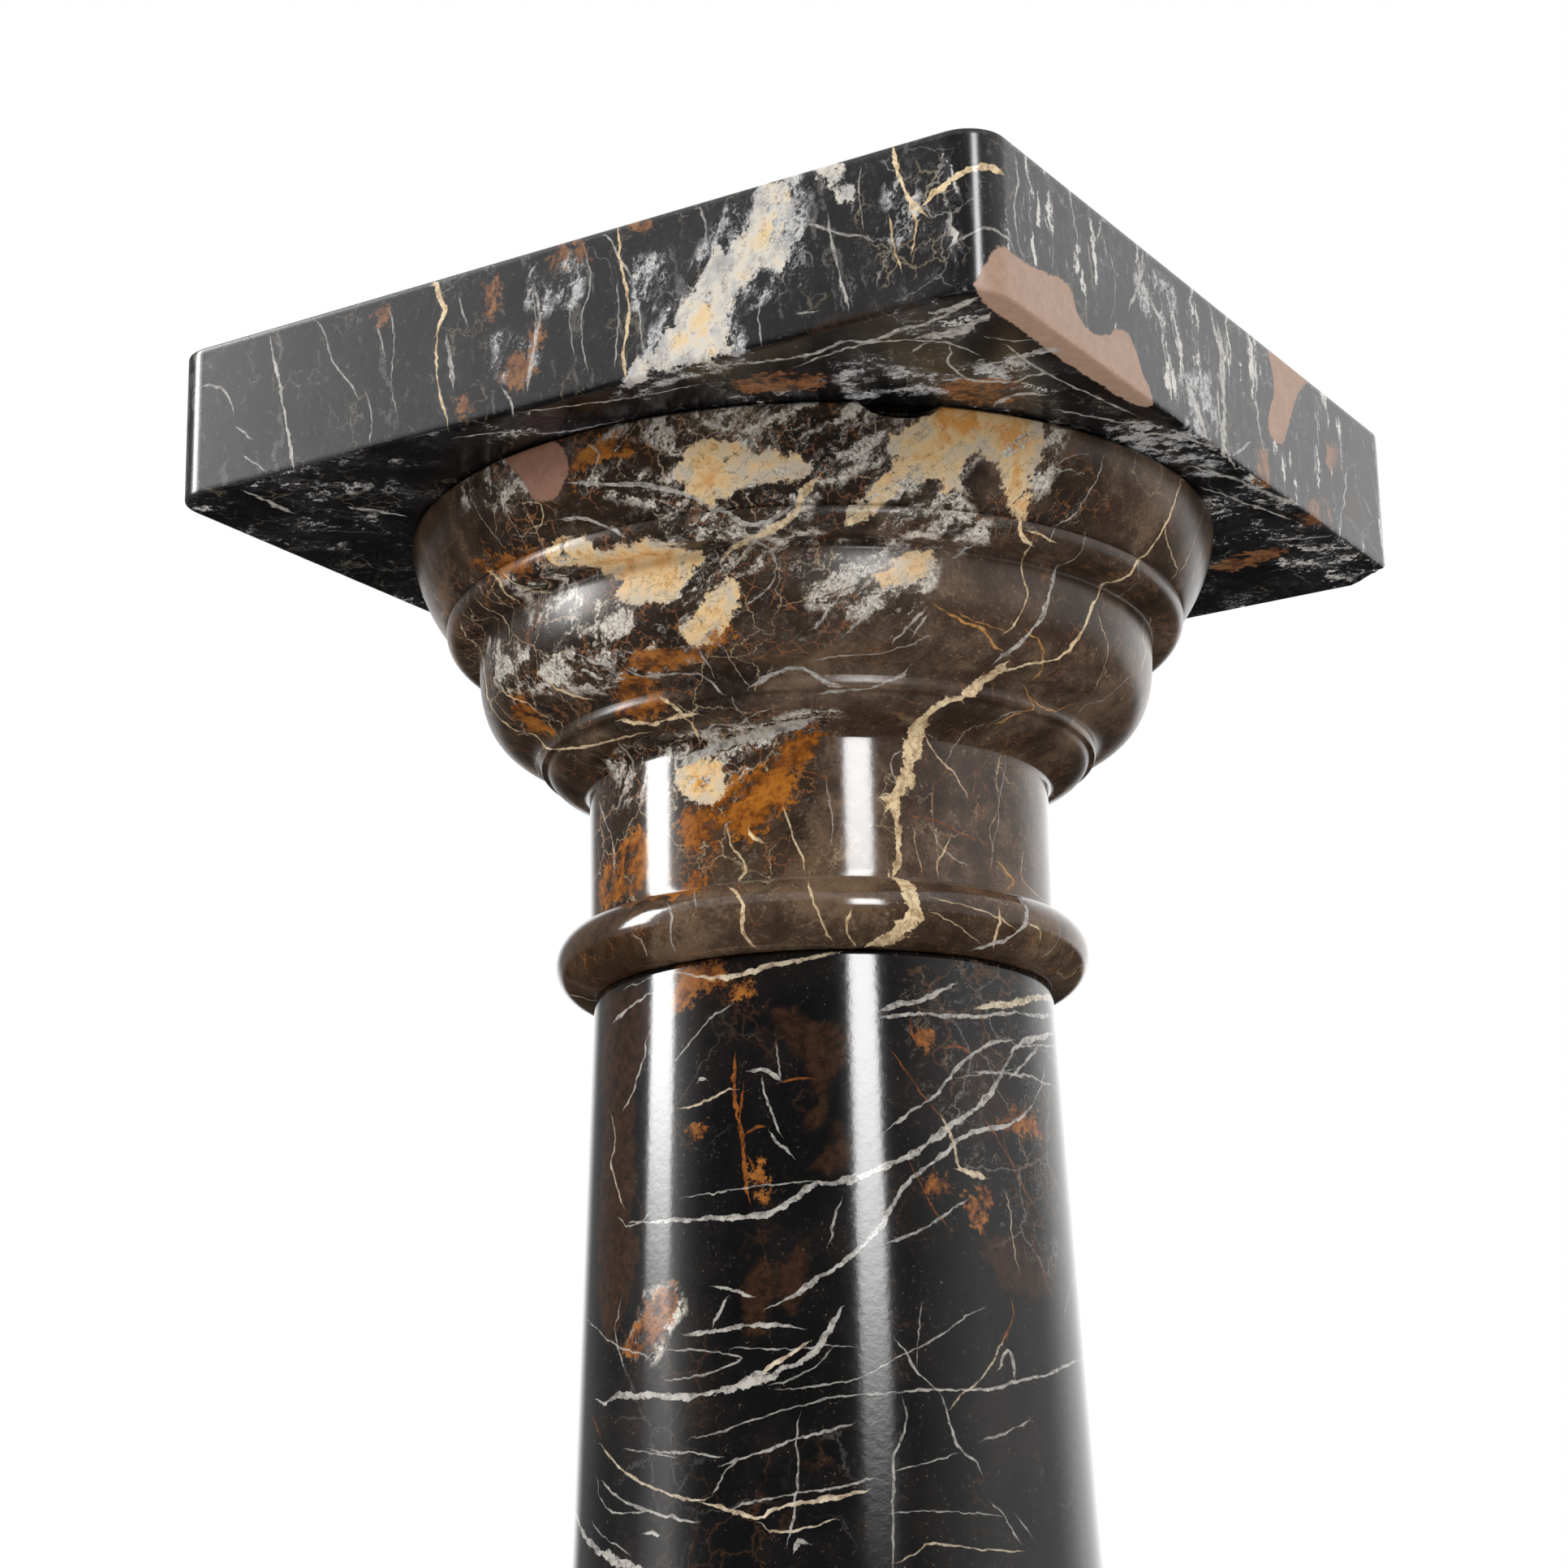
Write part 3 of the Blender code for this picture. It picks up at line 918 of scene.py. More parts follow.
class Stone:
    """One stone of the pedestal: its surface, what the photograph shows on it, and its marble."""

    node = ""
    slot = ""
    marble: Marble
    veins: tuple[Vein, ...] = ()
    areas: tuple[Area, ...] = ()
    wandering = Wandering()
    wild_veins = 0
    wild_lean = 0.0
    open_mesh_mm = 0.0

    def __init__(self, view: PhotoView) -> None:
        """Remember the camera and the size of the CAD node that the stone stands for."""
        self.view = view
        self.low, self.high = (np.array(corner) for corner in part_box(self.node))

    def surface(self) -> tuple[np.ndarray, list]:
        """The stone's vertices and faces."""
        raise NotImplementedError

    def build(self) -> bpy.types.Object:
        """Make the stone's mesh and store its pattern."""
        vertices, faces = self.surface()
        mesh = bpy.data.meshes.new(self.node + "_looks")
        mesh.from_pydata(vertices, [], faces)
        mesh.validate()
        mesh.shade_smooth()
        mesh.set_sharp_from_angle(angle=SHARP_ANGLE)
        self.vertices, self.faces = vertices, faces
        normals = np.empty(len(mesh.vertices) * 3)
        mesh.vertices.foreach_get("normal", normals)
        self.normals = normals.reshape(-1, 3)
        self.tree = BVHTree.FromPolygons(vertices.tolist(), faces)
        self.store_veins(mesh)
        self.store_areas(mesh)
        piece = bpy.data.objects.new(self.node + "_looks", mesh)
        bpy.context.scene.collection.objects.link(piece)
        self.piece = piece
        return piece

    def dress(self) -> None:
        """Give the stone its marble and tell the frame what it stands for."""
        self.piece.data.materials.append(self.marble.build(float(self.high[2])))
        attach(self.piece, "root")
        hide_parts(self.node)
        log.info("%s: %d faces, %d veins, %d areas", self.piece.name, len(self.piece.data.polygons),
                 len(self.veins), len(self.areas))

    def cast(self, pixels: np.ndarray) -> np.ndarray:
        """Carry pixels on to the stone.

        Args:
            pixels: an N x 2 array in the photograph's pixels.

        Returns:
            N places on the stone. A line of sight that misses it takes the nearest place.
        """
        eye = self.view.place()
        middle = Vector(((self.low + self.high) / 2).tolist())
        depth = (middle - eye).length
        places = []
        for direction in self.view.rays(pixels):
            place = self.tree.ray_cast(eye, Vector(direction))[0]
            if place is None:
                place = self.tree.find_nearest(eye + Vector(direction) * depth)[0]
            places.append(tuple(place))
        return np.array(places)

    def wild_lines(self) -> list[tuple[np.ndarray, float, Tone]]:
        """Veins for the sides that the photograph doesn't show.

        Returns:
            Lines that wander over the stone from random places at all heights, with a width in mm
            and a mineral. Each sets out about level, or leaned by the stone's wild_lean. Each step
            turns a little and is brought back to the surface. A line ends where the photograph
            shows the stone.
        """
        w = self.wandering
        rng = np.random.default_rng(len(self.node) * 1000 + self.wild_veins)
        unseen = self.unseen()
        hidden = np.flatnonzero(unseen > 0.9)
        heights = self.vertices[hidden, 2]
        lines = []
        for _ in range(self.wild_veins):
            level = rng.uniform(heights.min(), heights.max())
            start = rng.choice(hidden[np.argsort(np.abs(heights - level))[:w.starts]])
            place, normal = Vector(self.vertices[start]), Vector(self.normals[start])
            heading = Vector((-normal.y, normal.x, 0.0))
            heading = (heading if heading.length > 0.1 else normal.orthogonal()).normalized()
            heading.rotate(Matrix.Rotation(self.wild_lean + rng.normal(0, w.heading_spread), 3, normal))
            line = [tuple(place)]
            drift = rng.uniform(-w.drift, w.drift)
            for _ in range(int(rng.uniform(w.least_steps, w.most_steps))):
                heading.rotate(Matrix.Rotation(drift + rng.normal(0, w.turn_spread), 3, normal))
                found, turned, face, _ = self.tree.find_nearest(place + heading * w.step)
                if unseen[self.faces[face][0]] < 0.6:
                    break
                heading = (found - place).normalized() if (found - place).length > 1e-6 else heading
                place, normal = found, turned
                line.append(tuple(place))
            width = float(rng.choice(w.widths_mm, p=w.width_shares))
            tone = rng.choice(w.tones, p=w.tone_shares)
            if len(line) > 3:
                lines.append((np.array(line), width, tone))
        return lines

    def near(self, line: np.ndarray, reach: float) -> np.ndarray:
        """Find the vertices in the box round a line.

        Args:
            line: an N x 3 array.
            reach: how far the box is widened on every side.

        Returns:
            Numbers of the vertices.
        """
        low, high = line.min(axis=0) - reach, line.max(axis=0) + reach
        return np.flatnonzero(np.all((self.vertices > low) & (self.vertices < high), axis=1))

    def unseen(self) -> np.ndarray:
        """How far each vertex lies outside what the photograph shows.

        Returns:
            A number from 0 to 1 for each vertex. It rises where the surface turns away from the
            camera by its last GRAZING of a cosine, and over FADE_PIXELS below the lower edge.
        """
        sight = np.array(self.view.place()) - self.vertices
        facing = (sight * self.normals).sum(axis=1) / np.linalg.norm(sight, axis=1)
        below = self.view.project(self.vertices)[:, 1] - PHOTO_PIXELS
        return np.clip(np.maximum((GRAZING - facing) / GRAZING, below / FADE_PIXELS), 0, 1)

    def store_veins(self, mesh: bpy.types.Mesh) -> None:
        """Store each layer of veins as offset, distance, half width in mm and mineral.

        Veins that come near each other go in different layers, because a vertex holds one vein
        of a layer. Where the mesh is open, a wild vein reaches further, so that its two sides lie
        on neighbouring vertices and the offset passes through zero between them.

        Args:
            mesh: the stone's mesh.
        """
        count = len(self.vertices)
        empty = np.tile(np.array([FAR_MM, FAR_MM, -2.0, 0.0]), (count, 1))
        layers = [empty.copy() for _ in range(VEIN_LAYERS)]
        rng = np.random.default_rng(7)
        lines = []
        for vein in self.veins:
            pixels = smooth_line(vein.points(), STROKE_STEP)
            pixels[1:-1] += rng.normal(0, STROKE_SHAKE, (len(pixels) - 2, 2))
            lines.append((self.cast(pixels), vein.width_mm, vein.tone, 0.0))
        lines += [(*wild, self.open_mesh_mm) for wild in self.wild_lines()]
        for line, width, tone, slack in lines:
            half = width / 2
            reach = (half + VEIN_REACH_MM + slack) / MM
            index = self.near(line, reach)
            if not len(index):
                continue
            distance, twist, along = line_distance(self.vertices[index], line)
            close = distance < reach
            index, distance, twist, along = index[close], distance[close] * MM, twist[close], along[close]
            sign = np.where((twist * self.normals[index]).sum(axis=1) < 0, -1.0, 1.0)
            taper = half * np.clip(np.minimum(along, 1 - along) * 7 + 0.25, 0, 1)
            values = np.column_stack([
                sign * distance, np.maximum(distance - slack, 0), taper, np.full(len(index), tone.value),
            ])
            taken = [np.count_nonzero(layer[index, 1] < FAR_MM) for layer in layers]
            layer = layers[int(np.argmin(taken))]
            better = distance - taper < layer[index, 1] - np.maximum(layer[index, 2], 0)
            layer[index[better]] = values[better]
        for number, layer in enumerate(layers):
            self.store(mesh, f"veins_{number}", layer)

    def store_areas(self, mesh: bpy.types.Mesh) -> None:
        """Store the signed distance in mm from each kind of area, below zero inside.

        Args:
            mesh: the stone's mesh.
        """
        count = len(self.vertices)
        stored = {name: np.full((count, 4), FAR_MM) for name in ("patches_a", "patches_b")}
        pixels = self.view.project(self.vertices)
        sight = np.array(self.view.place()) - self.vertices
        facing = (sight * self.normals).sum(axis=1) > 0
        for area in self.areas:
            name, channel = area.kind.value
            corners = area.points()
            closed = smooth_line(np.vstack([corners, corners[:1]]), OUTLINE_STEP)
            line = self.cast(closed)
            index = self.near(line, AREA_REACH)
            distance, _, _ = line_distance(self.vertices[index], line)
            inside = facing[index] & inside_outline(pixels[index], closed)
            signed = np.where(inside, -distance, distance) * MM
            stored[name][index, channel] = np.minimum(stored[name][index, channel], signed)
        for name, values in stored.items():
            self.store(mesh, name, np.clip(values, -FAR_MM, FAR_MM))

    def store(self, mesh: bpy.types.Mesh, name: str, values: np.ndarray) -> None:
        """Store four numbers at each vertex.

        Args:
            mesh: the stone's mesh.
            name: the attribute's name.
            values: an N x 4 array.
        """
        attribute = mesh.attributes.new(name, "FLOAT_COLOR", "POINT")
        attribute.data.foreach_set("color", values.astype(np.float32).ravel())


class TurnedStone(Stone):
    """A stone turned about the column's axis, finer on the side that the photograph shows."""

    front_columns = 420
    back_columns = 110
    front_span = math.radians(200)
    chips: tuple[Chip, ...] = ()

    def profile(self) -> np.ndarray:
        """Section (radius, z) from the middle of the top to the middle of the foot."""
        raise NotImplementedError

    def angles(self) -> np.ndarray:
        """Directions of the section's copies round the axis.

        Returns:
            Angles in radians, closer together over the span in front of the camera.
        """
        facing = self.view.bearing - math.pi / 2
        start = facing - self.front_span / 2
        front = np.linspace(start, start + self.front_span, self.front_columns, endpoint=False)
        back = np.linspace(start + self.front_span, start + 2 * math.pi, self.back_columns, endpoint=False)
        return np.concatenate([front, back])

    def surface(self) -> tuple[np.ndarray, list]:
        """Turn the section about the axis.

        Returns:
            Vertices (r cos a, r sin a, z) for each point of the section and each direction, with
            one vertex at each pole, and faces that look outwards.
        """
        section = self.profile()
        rings, angles = section[1:-1], self.angles()
        rows, columns = len(rings), len(angles)
        grid = np.stack([
            np.outer(rings[:, 0], np.cos(angles)),
            np.outer(rings[:, 0], np.sin(angles)),
            np.repeat(rings[:, 1:], columns, axis=1),
        ], axis=-1).reshape(-1, 3)
        vertices = np.vstack([grid, (0, 0, section[0, 1]), (0, 0, section[-1, 1])])
        for chip in self.chips:
            vertices = chip.bite(vertices)
        return vertices, grid_faces(rows, columns)


def grid_faces(rows: int, columns: int) -> list:
    """Faces of rings joined to each other, with a fan to the pole above and the pole below.

    Args:
        rows: number of rings, from the top down.
        columns: number of vertices in a ring, which run anticlockwise from above.

    Returns:
        Quads and triangles that look outwards. The poles are the two vertices after the rings.
    """
    upper = (np.arange(rows - 1)[:, None] * columns + np.arange(columns)).ravel()
    step = (np.arange(rows - 1)[:, None] * columns + (np.arange(columns) + 1) % columns).ravel()
    quads = np.column_stack([upper, upper + columns, step + columns, step]).tolist()
    first = np.arange(columns)
    following = (first + 1) % columns
    top = np.full(columns, rows * columns)
    last = (rows - 1) * columns
    fans = np.column_stack([top, first, following]).tolist()
    fans += np.column_stack([top + 1, last + following, last + first]).tolist()
    return quads + fans


class SquaredStone(Stone):
    """A squared block with rounded upright corners and finely broken edges."""

    corner_radius = 0.012
    arris = 0.0012
    fine_step = 0.001
    coarse_step = 0.004
    chips: tuple[Chip, ...] = ()
    under_rows = 14
    arris_rings = 4
    open_share = 0.60

    def outline(self) -> np.ndarray:
        """The block's plan about its centre.

        Returns:
            Points of a rounded square, anticlockwise, closer together on the sides that face the
            camera.
        """
        half = (self.high[0] - self.low[0]) / 2
        flat = half - self.corner_radius
        towards = self.view.place()
        pieces = []
        for quarter in range(4):
            normal = quarter * math.pi / 2
            across = np.array([math.cos(normal), math.sin(normal)])
            along = np.array([-across[1], across[0]])
            seen = across @ np.array(towards[:2]) > 0
            steps = int(2 * flat / (self.fine_step if seen else self.coarse_step))
            run = np.linspace(-flat, flat, steps, endpoint=False)[:, None]
            pieces.append(across * half + run * along)
            turn = np.linspace(0, math.pi / 2, 14, endpoint=False)[:, None]
            corner = flat * (across + along)
            pieces.append(corner + self.corner_radius * (np.cos(turn) * across + np.sin(turn) * along))
        return np.vstack(pieces)

    def section(self) -> np.ndarray:
        """Section of the block, from the middle of the top down.

        Returns:
            Rings (share of the plan, z): the top, a quarter round over the upper arris, the side,
            the same round under the lower arris, and the underside, which is closer near its edge.
        """
        half = (self.high[0] - self.low[0]) / 2
        low, high = self.low[2], self.high[2]
        turn = np.linspace(0, math.pi / 2, self.arris_rings)
        edge = 1 - self.arris * (1 - np.sin(turn)) / half
        drop = self.arris * (1 - np.cos(turn))
        rows = max(6, int((high - low - 2 * self.arris) / (self.fine_step * 1.1)))
        outer = self.open_share + (edge[0] - self.open_share) * np.linspace(1, 0, self.under_rows + 1)[1:]
        rings = (
            (np.append(np.linspace(0.1, 0.94, 9), (0.97, 0.985)), high),
            (edge, high - drop),
            (np.ones(rows - 1), np.linspace(high - self.arris, low + self.arris, rows + 1)[1:-1]),
            (edge[::-1], low + drop[::-1]),
            (outer, low),
            (np.linspace(self.open_share, 0.06, 8)[1:], low),
        )
        return np.vstack([np.column_stack([share, np.broadcast_to(z, share.shape)]) for share, z in rings])

    def unseen(self) -> np.ndarray:
        """As for any stone, but never on the top, whose open mesh holds no veins."""
        return np.where(self.vertices[:, 2] < self.high[2] - self.arris / 2, super().unseen(), 0.0)

    def surface(self) -> tuple[np.ndarray, list]:
        """Carry the plan up the section.

        Returns:
            Vertices centre + share times plan at each height, with a pole above and below, and
            faces that look outwards.
        """
        plan, section = self.outline(), self.section()
        centre = (self.low + self.high)[:2] / 2
        flat = section[:, 0][:, None, None] * plan[None] + centre
        heights = np.repeat(section[:, 1][:, None, None], len(plan), axis=1)
        grid = np.concatenate([flat, heights], axis=-1).reshape(-1, 3)
        vertices = np.vstack([grid, (*centre, self.high[2]), (*centre, self.low[2])])
        for chip in self.chips:
            vertices = chip.bite(vertices)
        return vertices, grid_faces(len(section), len(plan))


@dataclass(frozen=True)
class CapitalSizes:
    """Heights of the capital's mouldings from the foot up, and how far each one stands out."""

    ring: float = 0.0221
    neck: float = 0.0490
    roll: float = 0.0068
    fillet: float = 0.0042
    cove: float = 0.0036
    bell: float = 0.0326
    bead: float = 0.0075
    quirk: float = 0.0012
    rim: float = 0.0279
    neck_radius: float = 0.0759
    ring_projection: float = 0.0113
    roll_step: float = 0.0139
    fillet_step: float = 0.0021
    cove_step: float = 0.0065
    bell_step: float = 0.0140
    bead_soffit: float = 0.0036
    bead_step: float = 0.0074
    rim_step: float = 0.0115
    bell_cove: float = 0.0024
    polish: float = 0.00045
    neck_cove: float = 0.0030
    rim_arris: float = 0.0008
    rim_fullness: float = 1.6
    rim_sweep: float = 0.63
    bell_fullness: float = 2.8
    bell_sweep: float = 0.82
    roll_sweep: float = 0.80

    def radii(self) -> tuple[float, ...]:
        """Radii of the roll, fillet, cove, bell, soffit, bead and rim, each a step beyond the last."""
        steps = (
            self.roll_step, self.fillet_step, self.cove_step, self.bell_step,
            self.bead_soffit, self.bead_step, self.rim_step,
        )
        return tuple(accumulate(steps, initial=self.neck_radius))[1:]


# Areas and veins of the capital, laid over the photograph.
CAPITAL_AREAS = (
    Area("large cream patch of the rim", Patch.CREAM, (1105, 560, 1100, 540, 1125, 520, 1160, 500,
        1200, 503, 1260, 512, 1282, 520, 1286, 545, 1280, 570, 1268, 582, 1264, 600, 1266, 622, 1258, 640,
        1249, 622, 1241, 603, 1238, 582, 1218, 562, 1200, 556, 1182, 575, 1180, 600, 1165, 603, 1160, 590,
        1140, 590, 1115, 585, 1098, 590, 1075, 625, 1050, 642, 1048, 632, 1075, 605, 1098, 578)),
    Area("fringe of the cream patch", Patch.CLOUD, (1085, 560, 1100, 520, 1150, 490, 1200, 495, 1290, 510,
        1312, 540, 1300, 580, 1280, 610, 1270, 590, 1240, 580, 1210, 560, 1190, 600, 1170, 640, 1120, 640,
        1080, 620)),
    Area("cream heart left of the middle", Patch.CREAM, (842, 570, 850, 552, 880, 542, 905, 550, 925, 560,
        955, 556, 985, 566, 1003, 580, 975, 592, 945, 590, 915, 592, 890, 612, 868, 618, 850, 608,
        838, 590)),
    Area("grey calcite along the top", Patch.CLOUD, (740, 545, 790, 522, 860, 505, 960, 492, 1060, 495,
        1090, 520, 1100, 555, 1060, 575, 1010, 600, 960, 610, 880, 635, 830, 620, 830, 570, 800, 540)),
    Area("calcite under the cream heart", Patch.CLOUD, (700, 590, 740, 585, 830, 590, 880, 610, 950, 600,
        1010, 590, 1000, 625, 960, 645, 900, 665, 860, 670, 830, 665, 800, 625, 740, 610)),
    Area("old fill in the rim", Patch.FILLER, (622, 566, 640, 556, 668, 541, 690, 548, 697, 560, 700, 577,
        696, 592, 690, 605, 682, 614, 664, 618, 652, 607, 645, 592, 635, 582)),
    Area("grey calcite at the left end", Patch.CLOUD, (570, 600, 590, 578, 625, 562, 640, 585, 655, 610,
        650, 625, 610, 622, 575, 620)),
    Area("rust in the left of the rim", Patch.RUST, (715, 552, 735, 545, 765, 540, 778, 550, 760, 562,
        735, 566, 720, 575, 706, 600, 700, 580)),
    Area("crushed left of the rim", Patch.BROKEN, (600, 560, 700, 520, 860, 490, 1000, 488, 1080, 500,
        1080, 640, 960, 660, 800, 670, 640, 690, 590, 680)),
    Area("crushed left of the bell", Patch.BROKEN, (560, 700, 700, 680, 900, 660, 1060, 655, 1060, 760,
        960, 830, 900, 870, 760, 900, 620, 900, 560, 800)),
    Area("crushed right of the patch", Patch.BROKEN, (1180, 560, 1260, 590, 1330, 560, 1330, 640, 1230, 660,
        1120, 660, 1100, 610)),
    Area("crushed neck", Patch.BROKEN, (735, 930, 860, 890, 1010, 880, 1000, 980, 960, 1080, 860, 1100,
        740, 1110)),
    Area("rust by the fill", Patch.BROWN_STAIN_AND_SHADE, (680, 545, 800, 520, 840, 560, 830, 600, 800, 645, 720, 650,
        640, 650, 650, 620, 695, 610)),
    Area("pale bead on the left", Patch.CREAM, (672, 680, 690, 668, 720, 664, 745, 680, 800, 668, 850, 680,
        868, 688, 852, 700, 840, 716, 800, 722, 765, 712, 740, 700, 700, 695, 680, 692)),
    Area("calcite on the bell's shoulder", Patch.CLOUD, (600, 700, 680, 690, 760, 700, 860, 690, 905, 700,
        905, 760, 870, 800, 800, 830, 720, 810, 660, 780, 650, 740)),
    Area("white under the bead", Patch.CREAM, (770, 722, 800, 712, 840, 712, 825, 735, 790, 742, 760, 735)),
    Area("cream patch of the bell", Patch.CREAM, (868, 742, 885, 722, 905, 718, 908, 745, 898, 765,
        880, 780, 862, 795, 850, 790, 842, 775, 855, 760)),
    Area("rust of the bell", Patch.RUST, (765, 822, 790, 802, 830, 798, 862, 792, 882, 772, 905, 775,
        880, 800, 850, 815, 815, 826)),
    Area("rust at the left of the bead", Patch.RUST, (585, 700, 600, 690, 640, 685, 668, 678, 665, 690,
        640, 706, 610, 706)),
    Area("calcite right of the bell's middle", Patch.CLOUD, (980, 700, 1020, 672, 1080, 665, 1150, 670,
        1170, 665, 1150, 705, 1120, 745, 1060, 755, 1000, 745)),
    Area("cream right of the bell's middle", Patch.CREAM, (1078, 712, 1098, 700, 1112, 684, 1140, 678,
        1152, 684, 1143, 704, 1125, 714, 1095, 718)),
    Area("calcite below the bead", Patch.CLOUD, (880, 680, 930, 660, 985, 655, 1030, 665, 1000, 700,
        930, 705, 890, 715)),
    Area("calcite on the soffit", Patch.CLOUD, (1090, 650, 1120, 625, 1180, 620, 1215, 650, 1200, 675,
        1140, 668, 1100, 670)),
    Area("rust of the lower bell", Patch.RUST, (760, 880, 763, 850, 775, 834, 800, 836, 812, 858, 820, 872,
        800, 884, 775, 886)),
    Area("rust of the lower left", Patch.RUST, (632, 870, 640, 858, 655, 872, 668, 888, 680, 900, 662, 902,
        645, 895)),
    Area("streaks of the lower left", Patch.CLOUD, (600, 790, 660, 800, 720, 800, 770, 830, 740, 850,
        680, 850, 640, 850, 610, 840)),
    Area("cream knot of the neck", Patch.CREAM, (832, 960, 842, 942, 868, 935, 888, 950, 892, 968, 882, 985,
        862, 992, 842, 982)),
    Area("calcite of the neck", Patch.CLOUD, (805, 945, 840, 905, 900, 900, 985, 880, 1030, 880, 1000, 905,
        940, 935, 915, 955, 895, 990, 850, 1005, 815, 1000)),
    Area("rust of the neck", Patch.RUST, (888, 968, 915, 958, 935, 950, 948, 935, 962, 935, 972, 955,
        975, 985, 958, 1002, 943, 1010, 933, 1028, 912, 1030, 893, 1022, 880, 1040, 862, 1048, 845, 1040,
        838, 1010, 845, 992, 868, 988)),
    Area("rust at the neck's left edge", Patch.RUST, (795, 1022, 800, 1050, 795, 1085, 770, 1100, 742, 1118,
        740, 1085, 755, 1058, 772, 1035)),
    Area("rust above the ring", Patch.RUST, (800, 1102, 835, 1085, 860, 1080, 862, 1095, 830, 1105)),
    Area("calcite at the neck's left edge", Patch.CLOUD, (752, 935, 775, 918, 795, 935, 792, 980,
        772, 985)),
    # Painted shade: the brown stain's dark colours laid along the neck's left outline.
    Area("painted shade along the neck's left edge", Patch.BROWN_STAIN_AND_SHADE, (728, 925, 775, 905, 800, 960, 785, 1060, 750, 1112,
        728, 1105)),
    # Painted shade: the brown stain's dark colours laid over the ring's left end.
    Area("painted shade over the ring's left end", Patch.BROWN_STAIN_AND_SHADE, (688, 1115, 760, 1105, 805, 1130, 790, 1205, 720, 1215,
        688, 1185)),
    Area("rust right of the knot", Patch.RUST, (975, 905, 1000, 895, 1010, 910, 1000, 930, 980, 945,
        962, 935)),
)

